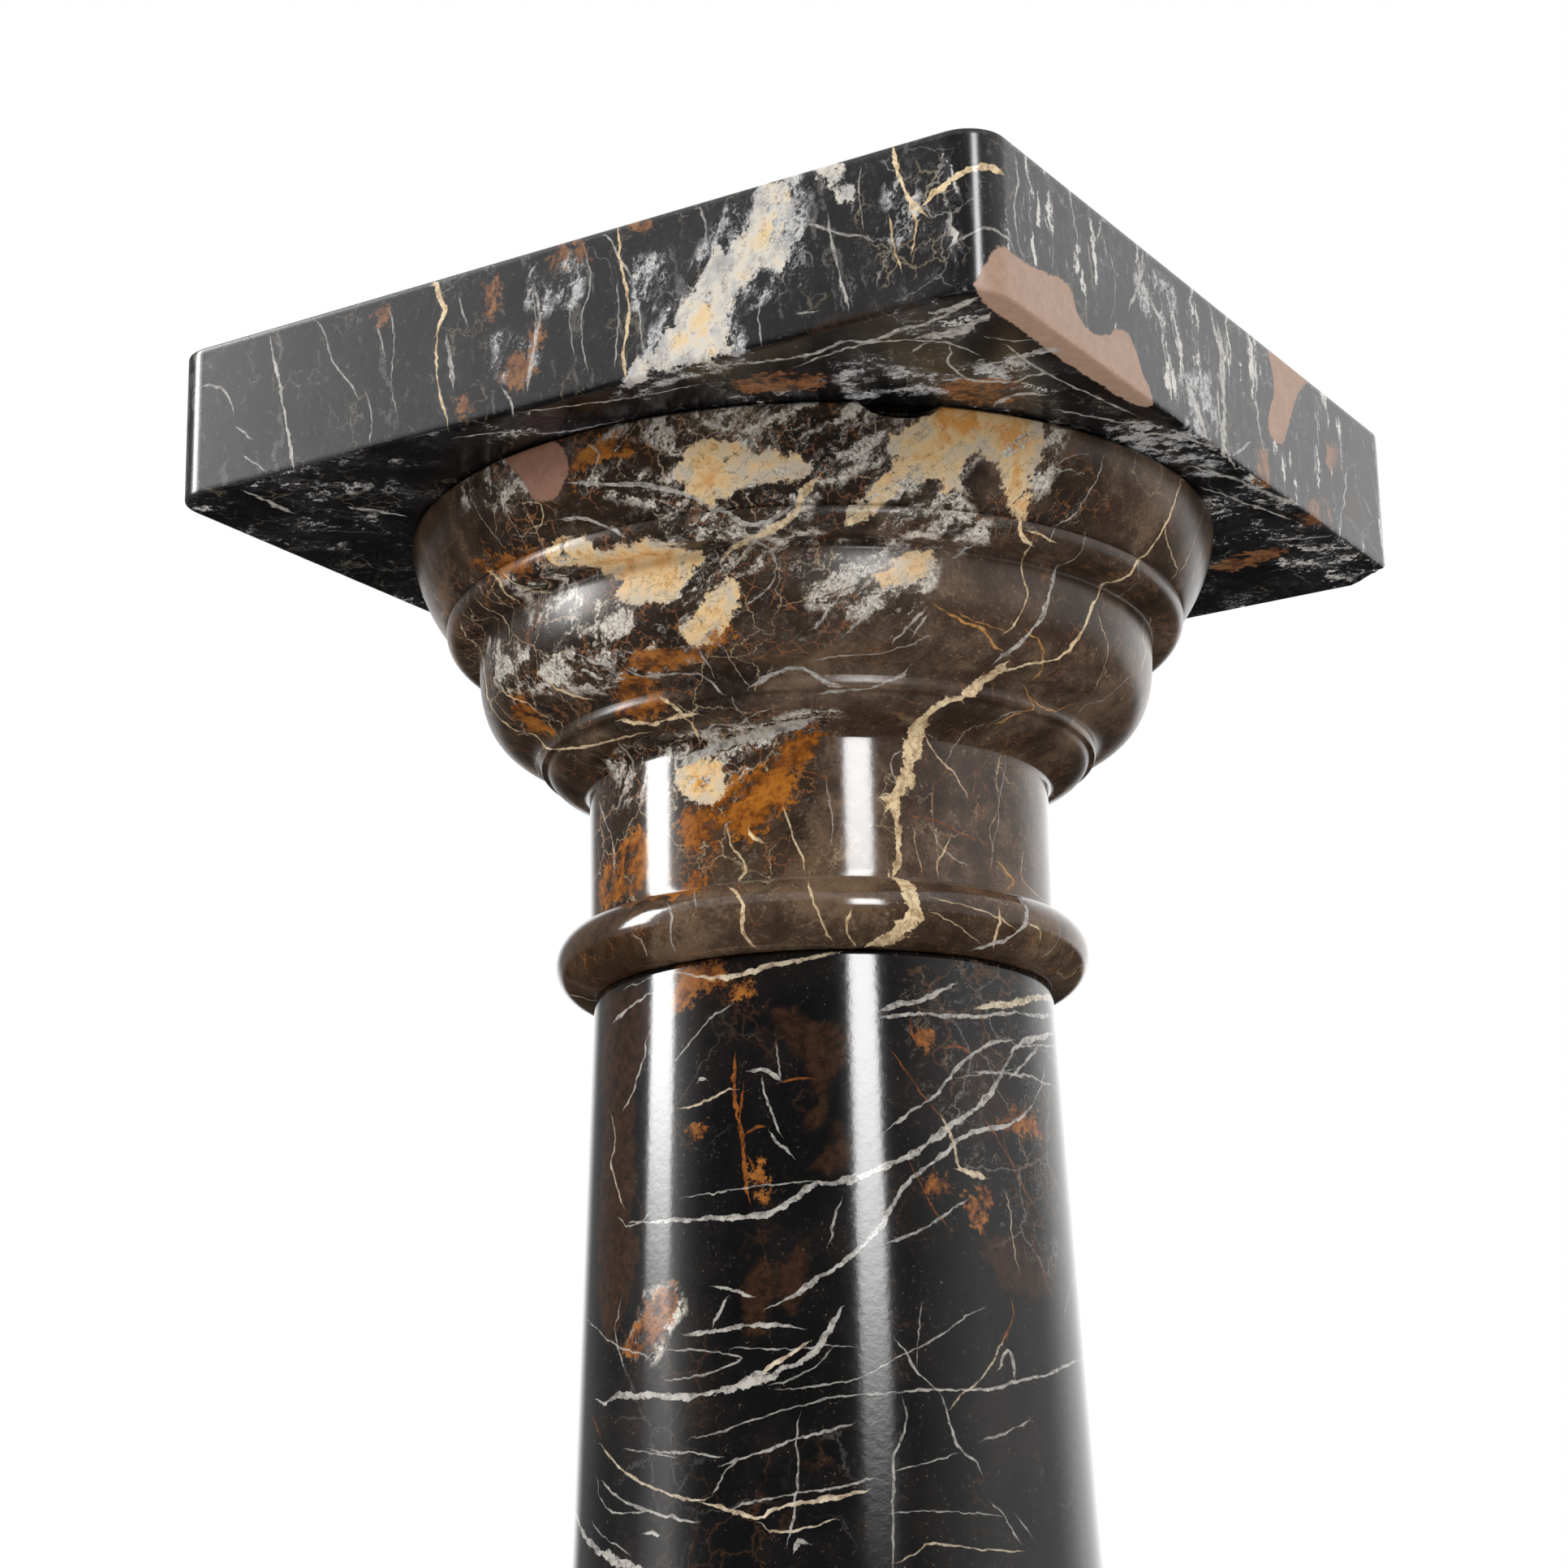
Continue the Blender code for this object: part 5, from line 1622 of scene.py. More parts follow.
SHAFT_VEINS = (
    Vein("main vein", (778, 1506, 820, 1505, 860, 1503, 900, 1500, 940, 1497, 962, 1488, 985, 1473,
        1005, 1459, 1030, 1457, 1060, 1450, 1090, 1438, 1120, 1424, 1150, 1404, 1176, 1384, 1200, 1368,
        1218, 1350, 1230, 1330, 1240, 1310, 1250, 1292), 2.3),
    Vein("main vein top", (1246, 1296, 1255, 1286, 1275, 1280, 1298, 1274), 2.4),
    Vein("main vein top split", (1252, 1290, 1275, 1288, 1300, 1290), 0.9),
    Vein("upper vein", (1092, 1392, 1120, 1372, 1148, 1353, 1164, 1335, 1180, 1315, 1200, 1297, 1222, 1285,
        1250, 1281), 1.3),
    Vein("second vein", (945, 1612, 965, 1603, 985, 1592, 1005, 1577, 1026, 1563, 1050, 1546, 1068, 1530,
        1084, 1512, 1096, 1492, 1106, 1474, 1120, 1456, 1142, 1438, 1164, 1420, 1182, 1404, 1206, 1393,
        1235, 1388, 1256, 1378, 1270, 1366, 1276, 1352), 1.7),
    Vein("second vein upper", (1276, 1356, 1284, 1335, 1288, 1310), 0.6),
    Vein("third vein", (735, 1724, 745, 1730, 758, 1722, 800, 1719, 840, 1721, 868, 1718, 892, 1712,
        915, 1705, 940, 1700, 962, 1689, 985, 1678, 1005, 1664, 1018, 1646, 1030, 1626, 1036, 1612), 2.7),
    Vein("third vein knot", (884, 1716, 905, 1708, 925, 1700, 942, 1692), 4.4),
    Vein("third vein branch", (940, 1690, 955, 1680, 975, 1668, 995, 1654), 1.9, Tone.PALE),
    Vein("third vein shadow", (950, 1706, 985, 1695, 1010, 1680, 1026, 1660), 0.6),
    Vein("long thin vein", (850, 1772, 880, 1766, 912, 1755, 940, 1746, 970, 1737, 1000, 1728, 1030, 1721,
        1080, 1718, 1112, 1715), 0.7),
    Vein("long vein right", (1105, 1716, 1150, 1712, 1200, 1713, 1235, 1709, 1262, 1700, 1290, 1694,
        1310, 1684, 1334, 1674), 1.2),
    Vein("thin rising vein", (960, 1712, 1000, 1708, 1042, 1702, 1076, 1690, 1105, 1673, 1132, 1660,
        1160, 1644, 1190, 1622, 1212, 1611), 0.6),
    Vein("white bar", (843, 1645, 870, 1642, 900, 1637, 930, 1632, 960, 1634, 988, 1637), 1.5),
    Vein("lower bar", (903, 1660, 940, 1662, 980, 1662, 1020, 1658, 1052, 1660), 0.7),
    Vein("bar fork", (820, 1664, 860, 1664, 895, 1668, 915, 1674, 895, 1684, 860, 1696, 820, 1700), 0.7),
    Vein("short mark a", (880, 1584, 898, 1589, 914, 1594, 926, 1598), 1.5),
    Vein("short mark b", (879, 1632, 888, 1616, 896, 1600), 1.0),
    Vein("lower left vein", (738, 1778, 755, 1800, 776, 1818, 802, 1832, 832, 1843, 852, 1848,
        870, 1848), 1.1, Tone.PALE),
    Vein("lower vein", (866, 1852, 890, 1858, 912, 1866, 936, 1870, 952, 1860, 976, 1853, 1010, 1849,
        1048, 1842, 1070, 1836), 1.7, Tone.PALE),
    Vein("lower vein upper", (895, 1862, 930, 1850, 962, 1843, 1000, 1838, 1040, 1832, 1072, 1822,
        1090, 1826), 0.7),
    Vein("lower loop", (935, 1875, 950, 1887, 985, 1885, 1010, 1878, 1030, 1872), 0.9, Tone.PALE),
    Vein("left feather a", (742, 1824, 758, 1842, 780, 1855, 802, 1862, 828, 1870, 858, 1876), 1.2),
    Vein("left feather b", (735, 1820, 738, 1840, 748, 1858, 762, 1864, 800, 1862), 0.7),
    Vein("left feather c", (730, 1875, 745, 1895, 762, 1905, 775, 1915), 0.6),
    Vein("left foot vein", (708, 1862, 716, 1884, 728, 1902, 748, 1918, 775, 1930, 800, 1940), 3.4),
    Vein("upright vein", (1100, 1936, 1101, 1900, 1100, 1860, 1102, 1830, 1101, 1802, 1108, 1780,
        1115, 1760, 1117, 1740, 1112, 1724), 0.9),
    Vein("upright crack", (985, 1744, 980, 1775, 984, 1802, 981, 1840, 977, 1875, 970, 1902), 0.8),
    Vein("rising vein", (890, 1806, 912, 1797, 940, 1789, 966, 1779, 990, 1771, 1020, 1763,
        1052, 1754), 0.9),
    Vein("rising fork", (878, 1840, 888, 1824, 898, 1808, 912, 1798), 0.7),
    Vein("short rows", (800, 1785, 820, 1791, 850, 1789, 888, 1795), 0.8),
    Vein("short rows b", (770, 1785, 800, 1790, 832, 1796), 0.5),
    Vein("rust vein", (1172, 1734, 1190, 1714, 1204, 1704, 1216, 1688, 1226, 1672,
        1236, 1650), 0.9, Tone.PALE),
    Vein("rust vein top", (1234, 1654, 1242, 1638, 1249, 1622, 1246, 1600), 0.8, Tone.RUST),
    Vein("arrow", (1232, 1686, 1238, 1668, 1243, 1664, 1248, 1676, 1250, 1696), 1.6),
    Vein("descending a", (1104, 1650, 1115, 1666, 1128, 1688, 1144, 1702, 1156, 1714), 0.9),
    Vein("descending b", (1130, 1684, 1131, 1650, 1136, 1608), 0.4),
    Vein("descending c", (1160, 1720, 1170, 1752, 1180, 1780, 1192, 1794, 1202, 1800, 1210, 1816), 1.0),
    Vein("descending d", (1222, 1852, 1236, 1866, 1246, 1885, 1256, 1900), 0.9),
    Vein("fleck row", (1210, 1776, 1238, 1766, 1268, 1750), 0.8),
    Vein("faint level", (1090, 1865, 1150, 1862, 1200, 1864, 1238, 1869), 0.5),
    Vein("faint level b", (1104, 1812, 1150, 1800, 1182, 1790), 0.5),
    Vein("faint foot", (1106, 1925, 1130, 1912, 1148, 1902, 1200, 1908, 1260, 1912), 0.7, Tone.PALE),
    Vein("white blots", (980, 1910, 985, 1900, 995, 1902), 2.4),
    Vein("white blots b", (795, 1890, 805, 1888, 812, 1892), 1.8),
    Vein("under the ring", (858, 1204, 885, 1204, 908, 1202, 934, 1194, 962, 1188, 1000, 1179,
        1032, 1174), 1.8, Tone.PALE),
    Vein("under the ring thin", (770, 1218, 800, 1206, 835, 1198, 862, 1204), 0.7),
    Vein("left rising", (757, 1258, 772, 1244, 788, 1233, 806, 1223, 830, 1213), 1.5),
    Vein("right band a", (1085, 1245, 1105, 1238, 1130, 1233, 1152, 1226, 1165, 1218, 1176, 1212), 1.9),
    Vein("right band b", (1085, 1254, 1120, 1250, 1145, 1250, 1175, 1253, 1210, 1252, 1240, 1248,
        1262, 1250), 1.6),
    Vein("right band c", (1205, 1242, 1235, 1238, 1262, 1234, 1288, 1228, 1296, 1232), 2.8, Tone.PALE),
    Vein("right band d", (1262, 1248, 1278, 1252, 1294, 1252), 1.6),
    Vein("right hook", (1280, 1288, 1272, 1300, 1258, 1314, 1245, 1328), 1.2),
    Vein("right level", (1200, 1320, 1245, 1323, 1272, 1327, 1288, 1334, 1302, 1341), 1.0),
    Vein("right faint", (1180, 1328, 1220, 1322, 1250, 1318), 0.5),
    Vein("left hair", (828, 1312, 846, 1290, 866, 1264, 882, 1250, 900, 1238), 0.7),
    Vein("left cream", (838, 1366, 858, 1362, 878, 1353, 898, 1342, 906, 1343), 0.9, Tone.PALE),
    Vein("rust stem", (906, 1300, 904, 1340, 908, 1372, 914, 1400, 917, 1430, 920, 1462,
        924, 1482), 1.7, Tone.RUST),
    Vein("rust stem b", (916, 1338, 914, 1365, 910, 1390, 918, 1412), 0.9, Tone.RUST),
    Vein("rust twig a", (960, 1334, 980, 1330, 1000, 1329), 0.9, Tone.RUST),
    Vein("rust twig b", (918, 1398, 932, 1390, 945, 1388), 1.1, Tone.RUST),
    Vein("rust twig c", (922, 1425, 930, 1442, 938, 1462), 0.8, Tone.RUST),
    Vein("white leaf", (924, 1320, 938, 1318, 950, 1323, 962, 1331), 1.7),
    Vein("white stem", (938, 1328, 942, 1345, 948, 1365, 954, 1382, 962, 1398), 0.9),
    Vein("white root", (950, 1396, 957, 1408, 966, 1414, 976, 1424), 1.5),
    Vein("white hair", (957, 1288, 960, 1310, 961, 1330), 0.5),
    Vein("oval grain a", (862, 1330, 868, 1330), 1.9),
    Vein("left inner", (768, 1368, 778, 1350, 786, 1328, 794, 1302, 796, 1282), 1.0),
    Vein("left inner cream", (752, 1372, 758, 1402, 754, 1432, 760, 1462, 768, 1486), 0.9, Tone.PALE),
    Vein("left inner low", (762, 1500, 775, 1512, 790, 1505, 800, 1494), 0.6),
    Vein("left low a", (765, 1598, 762, 1620, 758, 1645, 770, 1690), 0.7),
    Vein("left low b", (728, 1740, 735, 1760, 742, 1776), 0.8, Tone.RUST),
    Vein("left low c", (722, 1625, 735, 1638, 752, 1652, 770, 1662, 795, 1670, 804, 1676), 0.6),
    Vein("faint crossing", (840, 1476, 880, 1470, 930, 1462, 980, 1457, 1008, 1455), 0.6),
    Vein("crossing right", (1092, 1532, 1120, 1522, 1142, 1511, 1165, 1496, 1186, 1482, 1196, 1476), 0.9),
    Vein("hook down", (1022, 1532, 1028, 1502, 1036, 1480), 0.8),
    Vein("rust root", (1160, 1376, 1168, 1392, 1176, 1412, 1180, 1434, 1192, 1444,
        1210, 1450), 1.2, Tone.PALE),
    Vein("rust root end", (1180, 1440, 1195, 1445, 1214, 1452), 2.3, Tone.PALE),
    Vein("rust hair a", (1100, 1296, 1118, 1322, 1134, 1345, 1152, 1368, 1166, 1380), 0.6, Tone.RUST),
    Vein("rust hair b", (1210, 1374, 1232, 1408, 1250, 1440, 1268, 1475, 1284, 1500), 0.6, Tone.RUST),
    Vein("rust hair c", (1120, 1432, 1138, 1465, 1150, 1490, 1168, 1512), 0.5, Tone.RUST),
    Vein("rust hair d", (1240, 1470, 1245, 1500, 1248, 1530, 1256, 1566), 0.6, Tone.PALE),
    Vein("rust hair e", (1122, 1255, 1124, 1275, 1134, 1286, 1148, 1284), 1.2, Tone.RUST),
    Vein("rust hair f", (1165, 1290, 1182, 1290, 1196, 1298), 0.9, Tone.RUST),
    Vein("rust hair g", (1270, 1520, 1282, 1560, 1298, 1600), 0.5, Tone.RUST),
    Vein("low right a", (1250, 1865, 1262, 1880, 1272, 1895), 0.8),
    Vein("low right b", (1330, 1560, 1318, 1590, 1312, 1620), 0.5),
)


class Shaft(TurnedStone):
    """The tapered shaft, whose top shows in the photograph."""

    node = "shaft"
    slot = "shaft_marble"
    top_radius = 0.0747
    foot_radius = 0.1050
    arris = 0.0010
    front_columns = 310
    back_columns = 90
    shown_length = 0.195
    shown_rows = 172
    hidden_rows = 60
    open_mesh_mm = 10.0
    wild_veins = 90
    # Near black with a full gloss, so that the studio's lights stand as clear upright bands.
    marble = Marble(
        "black marble, turned and polished", ("0B0B0B", "121111", "1D1917"), hairline_amount=0.16,
        hairline_mm=30.0, speckle_amount=0.35, seed=2.0, hairline_tones=("85817C", "6E4A30"),
        stains=("1C130D", "452D1E"), rust=("301C10", "5E361C", "96602C"),
    )

    def profile(self) -> np.ndarray:
        """Section of the shaft, a straight taper between two softened arrises.

        Returns:
            Points (radius, z), closer together where the photograph shows the shaft.
        """
        low, high = self.low[2], self.high[2]
        slope = (self.foot_radius - self.top_radius) / (high - low - 2 * self.arris)

        def wall(z: float) -> tuple[float, float]:
            """The wall's radius and height at z."""
            return self.top_radius + (high - self.arris - z) * slope, z

        shown = high - self.shown_length
        return np.vstack([
            straight((0, high), (self.top_radius - 0.003, high), 2),
            soft_arc((self.top_radius - self.arris, high), wall(high - self.arris), 0.2, 3),
            straight(wall(high - self.arris), wall(shown), self.shown_rows)[1:],
            straight(wall(shown), wall(low + self.arris), self.hidden_rows)[1:],
            soft_arc(wall(low + self.arris), (self.foot_radius - self.arris, low), 0.2, 3)[1:],
            straight((self.foot_radius - 0.004, low), (0, low), 2),
        ])

    areas = SHAFT_AREAS
    veins = SHAFT_VEINS


@dataclass(frozen=True)
class BaseSizes:
    """Heights of the base moulding's parts from the shaft down, and how far each stands out."""

    fillet: float = 0.0080
    arris: float = 0.0008
    ring: float = 0.0220
    ring_projection: float = 0.0100
    cove: float = 0.0080
    cove_depth: float = 0.0030
    torus: float = 0.0440
    torus_projection: float = 0.0290


class BaseMoulding(TurnedStone):
    """The turned base under the shaft, which the photograph's edge cuts off."""

    node = "base_moulding"
    slot = "base_marble"
    sizes = BaseSizes()
    front_columns = 150
    back_columns = 120
    wild_veins = 34
    # Nearly as dark as the shaft and a little cloudier, so that the two read as one column.
    marble = Marble(
        "black marble of the base, turned and polished", ("100F10", "1C1818", "2C2524"), hairline_amount=0.35,
        speckle_amount=0.4, seed=3.0,
    )

    def profile(self) -> np.ndarray:
        """Section of the base.

        Returns:
            Points (radius, z): a fillet with a softened arris, a ring, a cove and a torus.
        """
        s = self.sizes
        top, foot = self.high[2], self.low[2]
        fillet = self.high[0] - s.torus_projection
        ring_top = top - s.fillet
        cove_top = ring_top - s.ring
        torus_top = cove_top - s.cove
        return np.vstack([
            straight((0, top), (fillet - 0.003, top), 3),
            soft_arc((fillet - s.arris, top), (fillet, top - s.arris), 0.2, 2),
            straight((fillet, top - s.arris), (fillet, ring_top), 4)[1:],
            half_round(fillet, ring_top, s.ring, s.ring_projection, 18)[1:],
            soft_arc((fillet, cove_top), (fillet, torus_top), -s.cove_depth / s.cove, 6)[1:],
            half_round(fillet, torus_top, s.torus, s.torus_projection, 32)[1:-1],
            straight((fillet - 0.001, foot), (0, foot), 4),
        ])


# Areas and veins of the slab, laid over the photograph.
SLAB_AREAS = (
    Area("great white band", Patch.CREAM, (940, 228, 968, 228, 972, 258, 968, 290, 966, 320, 962, 338,
        950, 328, 935, 328, 925, 342, 906, 360, 896, 382, 893, 402, 892, 436, 860, 446, 802, 458, 806, 440,
        818, 412, 832, 392, 848, 368, 862, 342, 876, 322, 884, 304, 892, 312, 900, 318, 906, 304, 920, 286,
        930, 258)),
    Area("haze of the great band", Patch.CLOUD, (915, 225, 985, 215, 985, 340, 910, 385, 905, 445, 780, 475,
        785, 440, 830, 370, 870, 300)),
    Area("cream end of the band", Patch.CREAM, (770, 476, 778, 455, 800, 440, 806, 455, 795, 470)),
    Area("cream fleck", Patch.CREAM, (1004, 206, 1020, 198, 1036, 203, 1028, 222, 1016, 230, 1008, 218)),
    Area("cream fleck b", Patch.CREAM, (1034, 238, 1046, 232, 1054, 242, 1044, 250)),
    Area("broken corner", Patch.BROKEN, (1060, 215, 1120, 190, 1170, 220, 1175, 290, 1150, 340, 1080, 350,
        1050, 270)),
    Area("broken cream", Patch.CLOUD, (1095, 225, 1116, 216, 1128, 240, 1126, 286, 1106, 300, 1098, 260)),
    Area("cloud a", Patch.CLOUD, (690, 318, 715, 322, 712, 370, 690, 372)),
    Area("cloud b", Patch.CLOUD, (612, 420, 650, 418, 655, 460, 618, 462)),
    Area("cloud c", Patch.CLOUD, (768, 320, 812, 318, 810, 372, 772, 372)),
    Area("cloud d", Patch.CLOUD, (655, 330, 675, 330, 672, 380, 655, 380)),
    Area("rust spot a", Patch.RUST, (463, 386, 470, 380, 478, 388, 472, 396)),
    Area("rust spot b", Patch.RUST, (562, 496, 572, 490, 580, 502, 572, 510, 562, 506)),
    Area("rust haze a", Patch.RUST, (599, 352, 609, 348, 613, 366, 608, 392, 600, 388)),
    Area("rust haze b", Patch.RUST, (681, 308, 692, 302, 696, 322, 684, 332)),
    Area("rust haze c", Patch.RUST, (710, 302, 718, 300, 722, 316, 713, 320)),
    Area("rust haze d", Patch.RUST, (622, 455, 634, 440, 655, 445, 650, 468, 630, 476)),
    Area("rust haze e", Patch.RUST, (655, 408, 662, 400, 664, 425, 656, 432)),
    Area("rust haze f", Patch.RUST, (775, 276, 790, 270, 800, 276, 788, 284)),
    Area("large fill", Patch.FILLER, (1200, 352, 1215, 324, 1232, 303, 1245, 311, 1262, 323, 1285, 335,
        1300, 340, 1315, 350, 1322, 365, 1325, 380, 1335, 400, 1346, 410, 1362, 414, 1378, 406, 1390, 412,
        1397, 426, 1403, 442, 1406, 456, 1413, 471, 1419, 486, 1418, 500, 1395, 497, 1350, 470, 1300, 437,
        1250, 400, 1218, 378)),
    Area("small fill", Patch.FILLER, (1560, 426, 1582, 440, 1600, 455, 1613, 467, 1602, 480, 1596, 492,
        1591, 512, 1586, 530, 1580, 545, 1570, 543, 1563, 528, 1565, 503, 1570, 482, 1567, 456)),
    Area("grey cloud right a", Patch.CLOUD, (1400, 340, 1440, 350, 1450, 410, 1430, 405, 1405, 370)),
    Area("grey cloud right b", Patch.CLOUD, (1455, 470, 1490, 470, 1500, 560, 1470, 545)),
    Area("rust right a", Patch.RUST, (1550, 560, 1560, 556, 1564, 590, 1554, 598)),
    Area("rust right b", Patch.RUST, (1636, 552, 1648, 550, 1650, 574, 1638, 578)),
    Area("rust right c", Patch.RUST, (1606, 628, 1634, 622, 1638, 644, 1610, 648)),
    Area("rust right d", Patch.BROWN_STAIN_AND_SHADE, (1652, 606, 1676, 606, 1672, 645, 1654, 645)),
    Area("brown underside", Patch.RUST, (912, 466, 960, 460, 1008, 466, 1000, 478, 915, 482)),
    Area("rust underside b", Patch.RUST, (1167, 474, 1200, 466, 1255, 472, 1252, 488, 1225, 498,
        1178, 492)),
    Area("white underside a", Patch.CLOUD, (1085, 452, 1130, 455, 1160, 470, 1140, 482, 1095, 480)),
    Area("white underside b", Patch.CLOUD, (1030, 448, 1062, 446, 1076, 466, 1066, 494, 1044, 488)),
    Area("white underside c", Patch.CLOUD, (1140, 462, 1172, 462, 1186, 474, 1160, 484)),
    Area("white underside d", Patch.CLOUD, (1212, 452, 1240, 440, 1262, 446, 1250, 472, 1218, 470)),
    Area("white underside e", Patch.CLOUD, (1370, 520, 1420, 522, 1500, 560, 1490, 585, 1420, 560,
        1380, 545)),
    Area("rust underside c", Patch.RUST, (1492, 700, 1530, 682, 1580, 678, 1560, 690, 1520, 702)),
    Area("brown edge", Patch.BROWN_STAIN_AND_SHADE, (1005, 402, 1110, 374, 1112, 380, 1008, 410)),
)

SLAB_VEINS = (
    Vein("left a", (333, 415, 338, 445, 345, 470, 349, 500, 355, 535, 362, 576), 1.7),
    Vein("left b", (387, 393, 400, 410, 406, 435, 420, 460, 434, 475, 441, 489), 0.7),
    Vein("left c", (250, 476, 270, 477, 282, 490, 288, 509), 1.0),
    Vein("left d", (290, 525, 310, 541), 0.7),
    Vein("left e", (300, 560, 326, 580), 0.8),
    Vein("left f", (465, 405, 470, 420, 474, 436), 0.9),
    Vein("left g", (450, 484, 458, 510, 456, 546), 0.7),
    Vein("left h", (538, 345, 541, 370, 549, 381, 543, 396, 537, 412), 2.0, Tone.CREAM),
    Vein("left i", (538, 408, 538, 450, 540, 475, 546, 500, 553, 531), 0.9, Tone.CREAM),
    Vein("left j", (550, 416, 555, 442, 558, 476), 1.9),
    Vein("left k", (565, 364, 571, 385, 575, 401), 0.8),
    Vein("left l", (620, 479, 630, 498, 633, 512), 1.0),
    Vein("left m", (655, 344, 660, 398, 657, 441), 0.6),
    Vein("left n", (745, 284, 760, 310, 776, 340, 785, 370, 789, 396, 791, 420, 796, 441), 0.9),
    Vein("left o", (760, 349, 762, 390, 760, 420, 757, 452), 0.6),
    Vein("left p", (700, 330, 706, 360, 702, 400, 708, 440), 0.5),
    Vein("left q", (480, 380, 486, 420, 482, 470, 490, 520), 0.5),
    Vein("level a", (978, 278, 1000, 277, 1020, 283, 1040, 290, 1062, 290), 0.9),
    Vein("fall a", (1020, 266, 1025, 300, 1032, 330, 1040, 360, 1046, 381), 1.2),
    Vein("corner a", (1100, 178, 1105, 210, 1115, 235, 1130, 255, 1142, 266), 1.7, Tone.CREAM),
    Vein("corner arch", (1138, 252, 1158, 233, 1180, 215, 1205, 207, 1225, 208,
        1237, 216), 2.4, Tone.CREAM),
    Vein("left r", (658, 350, 664, 390, 656, 440, 650, 480), 1.4),
    Vein("left s", (760, 270, 765, 320, 775, 380, 768, 440, 773, 470), 1.2, Tone.CREAM),
    Vein("left t", (718, 300, 728, 350, 716, 400, 724, 458), 0.6),
    Vein("left u", (860, 250, 870, 290, 860, 330), 0.8),
    Vein("right q", (1312, 211, 1321, 258, 1328, 296), 1.2),
    Vein("right r", (1351, 242, 1358, 265, 1352, 296), 1.4),
    Vein("right s", (1408, 311, 1405, 342, 1391, 381), 1.8),
    Vein("right t", (1500, 400, 1506, 440, 1508, 500, 1508, 562), 4.0),
    Vein("corner arch low", (1168, 306, 1190, 291, 1214, 281, 1234, 288, 1245, 298, 1251, 312), 1.0),
    Vein("under band a", (940, 364, 935, 390, 938, 421), 0.9),
    Vein("under band b", (982, 386, 1006, 384), 1.1),
    Vein("band streak a", (1060, 205, 1058, 240, 1064, 280), 0.7),
    Vein("band streak b", (1096, 268, 1100, 300, 1110, 332), 1.0, Tone.CREAM),
    Vein("band streak c", (1120, 240, 1128, 280, 1124, 310), 1.1, Tone.CREAM),
    Vein("right a", (1250, 184, 1254, 225, 1250, 260, 1255, 300, 1262, 322), 1.4),
    Vein("right b", (1400, 298, 1404, 330, 1398, 366), 1.0),
    Vein("right c", (1340, 298, 1346, 346), 0.8),
    Vein("right d", (1338, 384, 1341, 406), 0.8),
    Vein("right e", (1400, 344, 1413, 361, 1426, 386, 1437, 399), 2.6),
    Vein("right f", (1430, 334, 1440, 370, 1450, 408, 1455, 440, 1462, 472), 1.3),
    Vein("right g", (1460, 466, 1470, 500, 1480, 522, 1488, 542), 3.4),
    Vein("right h", (1490, 378, 1496, 405, 1505, 440, 1503, 472), 2.8),
    Vein("right i", (1500, 476, 1505, 530, 1512, 558, 1521, 577), 1.6),
    Vein("right j", (1535, 408, 1545, 450, 1548, 490, 1552, 530, 1560, 562), 1.3),
    Vein("right k", (1519, 562, 1541, 544), 1.0),
    Vein("right oval", (1590, 556, 1590, 578), 2.8),
    Vein("right l", (1660, 577, 1657, 610, 1652, 640, 1650, 664), 1.3),
    Vein("right m", (1680, 613, 1691, 637), 0.9),
    Vein("right n", (1292, 262, 1298, 300, 1296, 330), 0.7),
    Vein("right o", (1370, 320, 1374, 360, 1368, 398), 0.6),
    Vein("right p", (1620, 500, 1624, 545, 1618, 590), 0.8),
    Vein("under a", (1200, 370, 1180, 380, 1145, 397, 1115, 405, 1070, 421, 1040, 421, 1000, 436, 940, 446,
        870, 451), 2.2),
    Vein("under b", (1205, 437, 1180, 427, 1165, 422, 1130, 419, 1090, 421, 1040, 430, 980, 452), 1.3),
    Vein("under b down", (1170, 426, 1171, 435, 1167, 447, 1176, 454, 1187, 464, 1202, 470, 1225, 470,
        1250, 470, 1272, 462, 1300, 461), 1.6),
    Vein("under b twig", (1122, 435, 1135, 426, 1147, 422), 1.0),
    Vein("under corner streak", (1132, 416, 1160, 412, 1185, 405, 1205, 395, 1218, 388), 6.0),
    Vein("under corner streak b", (1150, 386, 1175, 379, 1200, 368), 3.4),
    Vein("under deep", (1225, 500, 1240, 490, 1260, 485, 1290, 487), 2.4),
    Vein("under near fill", (1252, 441, 1280, 434, 1305, 431), 4.0),
    Vein("under near fill b", (1215, 415, 1245, 420, 1275, 418), 1.0),
    Vein("under mid", (1205, 452, 1235, 446, 1262, 447), 2.0),
    Vein("under c", (560, 540, 620, 532, 680, 534, 760, 520), 1.2),
    Vein("under d", (640, 508, 720, 498, 800, 486, 860, 474), 1.2),
    Vein("under e", (300, 605, 330, 618, 360, 632), 2.6),
    Vein("under f", (430, 625, 465, 630, 500, 636), 2.4),
    Vein("under g", (1380, 545, 1420, 535, 1460, 540, 1500, 552), 2.6),
    Vein("under h", (1470, 575, 1520, 590, 1560, 608, 1600, 622), 2.2),
    Vein("under i", (1480, 600, 1530, 618, 1590, 640), 1.6),
    Vein("under j", (1640, 660, 1600, 664, 1560, 666), 1.6),
    Vein("under k", (1300, 505, 1340, 512, 1380, 520, 1420, 520), 1.4),
    Vein("under l", (1240, 425, 1280, 455, 1330, 480, 1400, 512), 1.2),
)


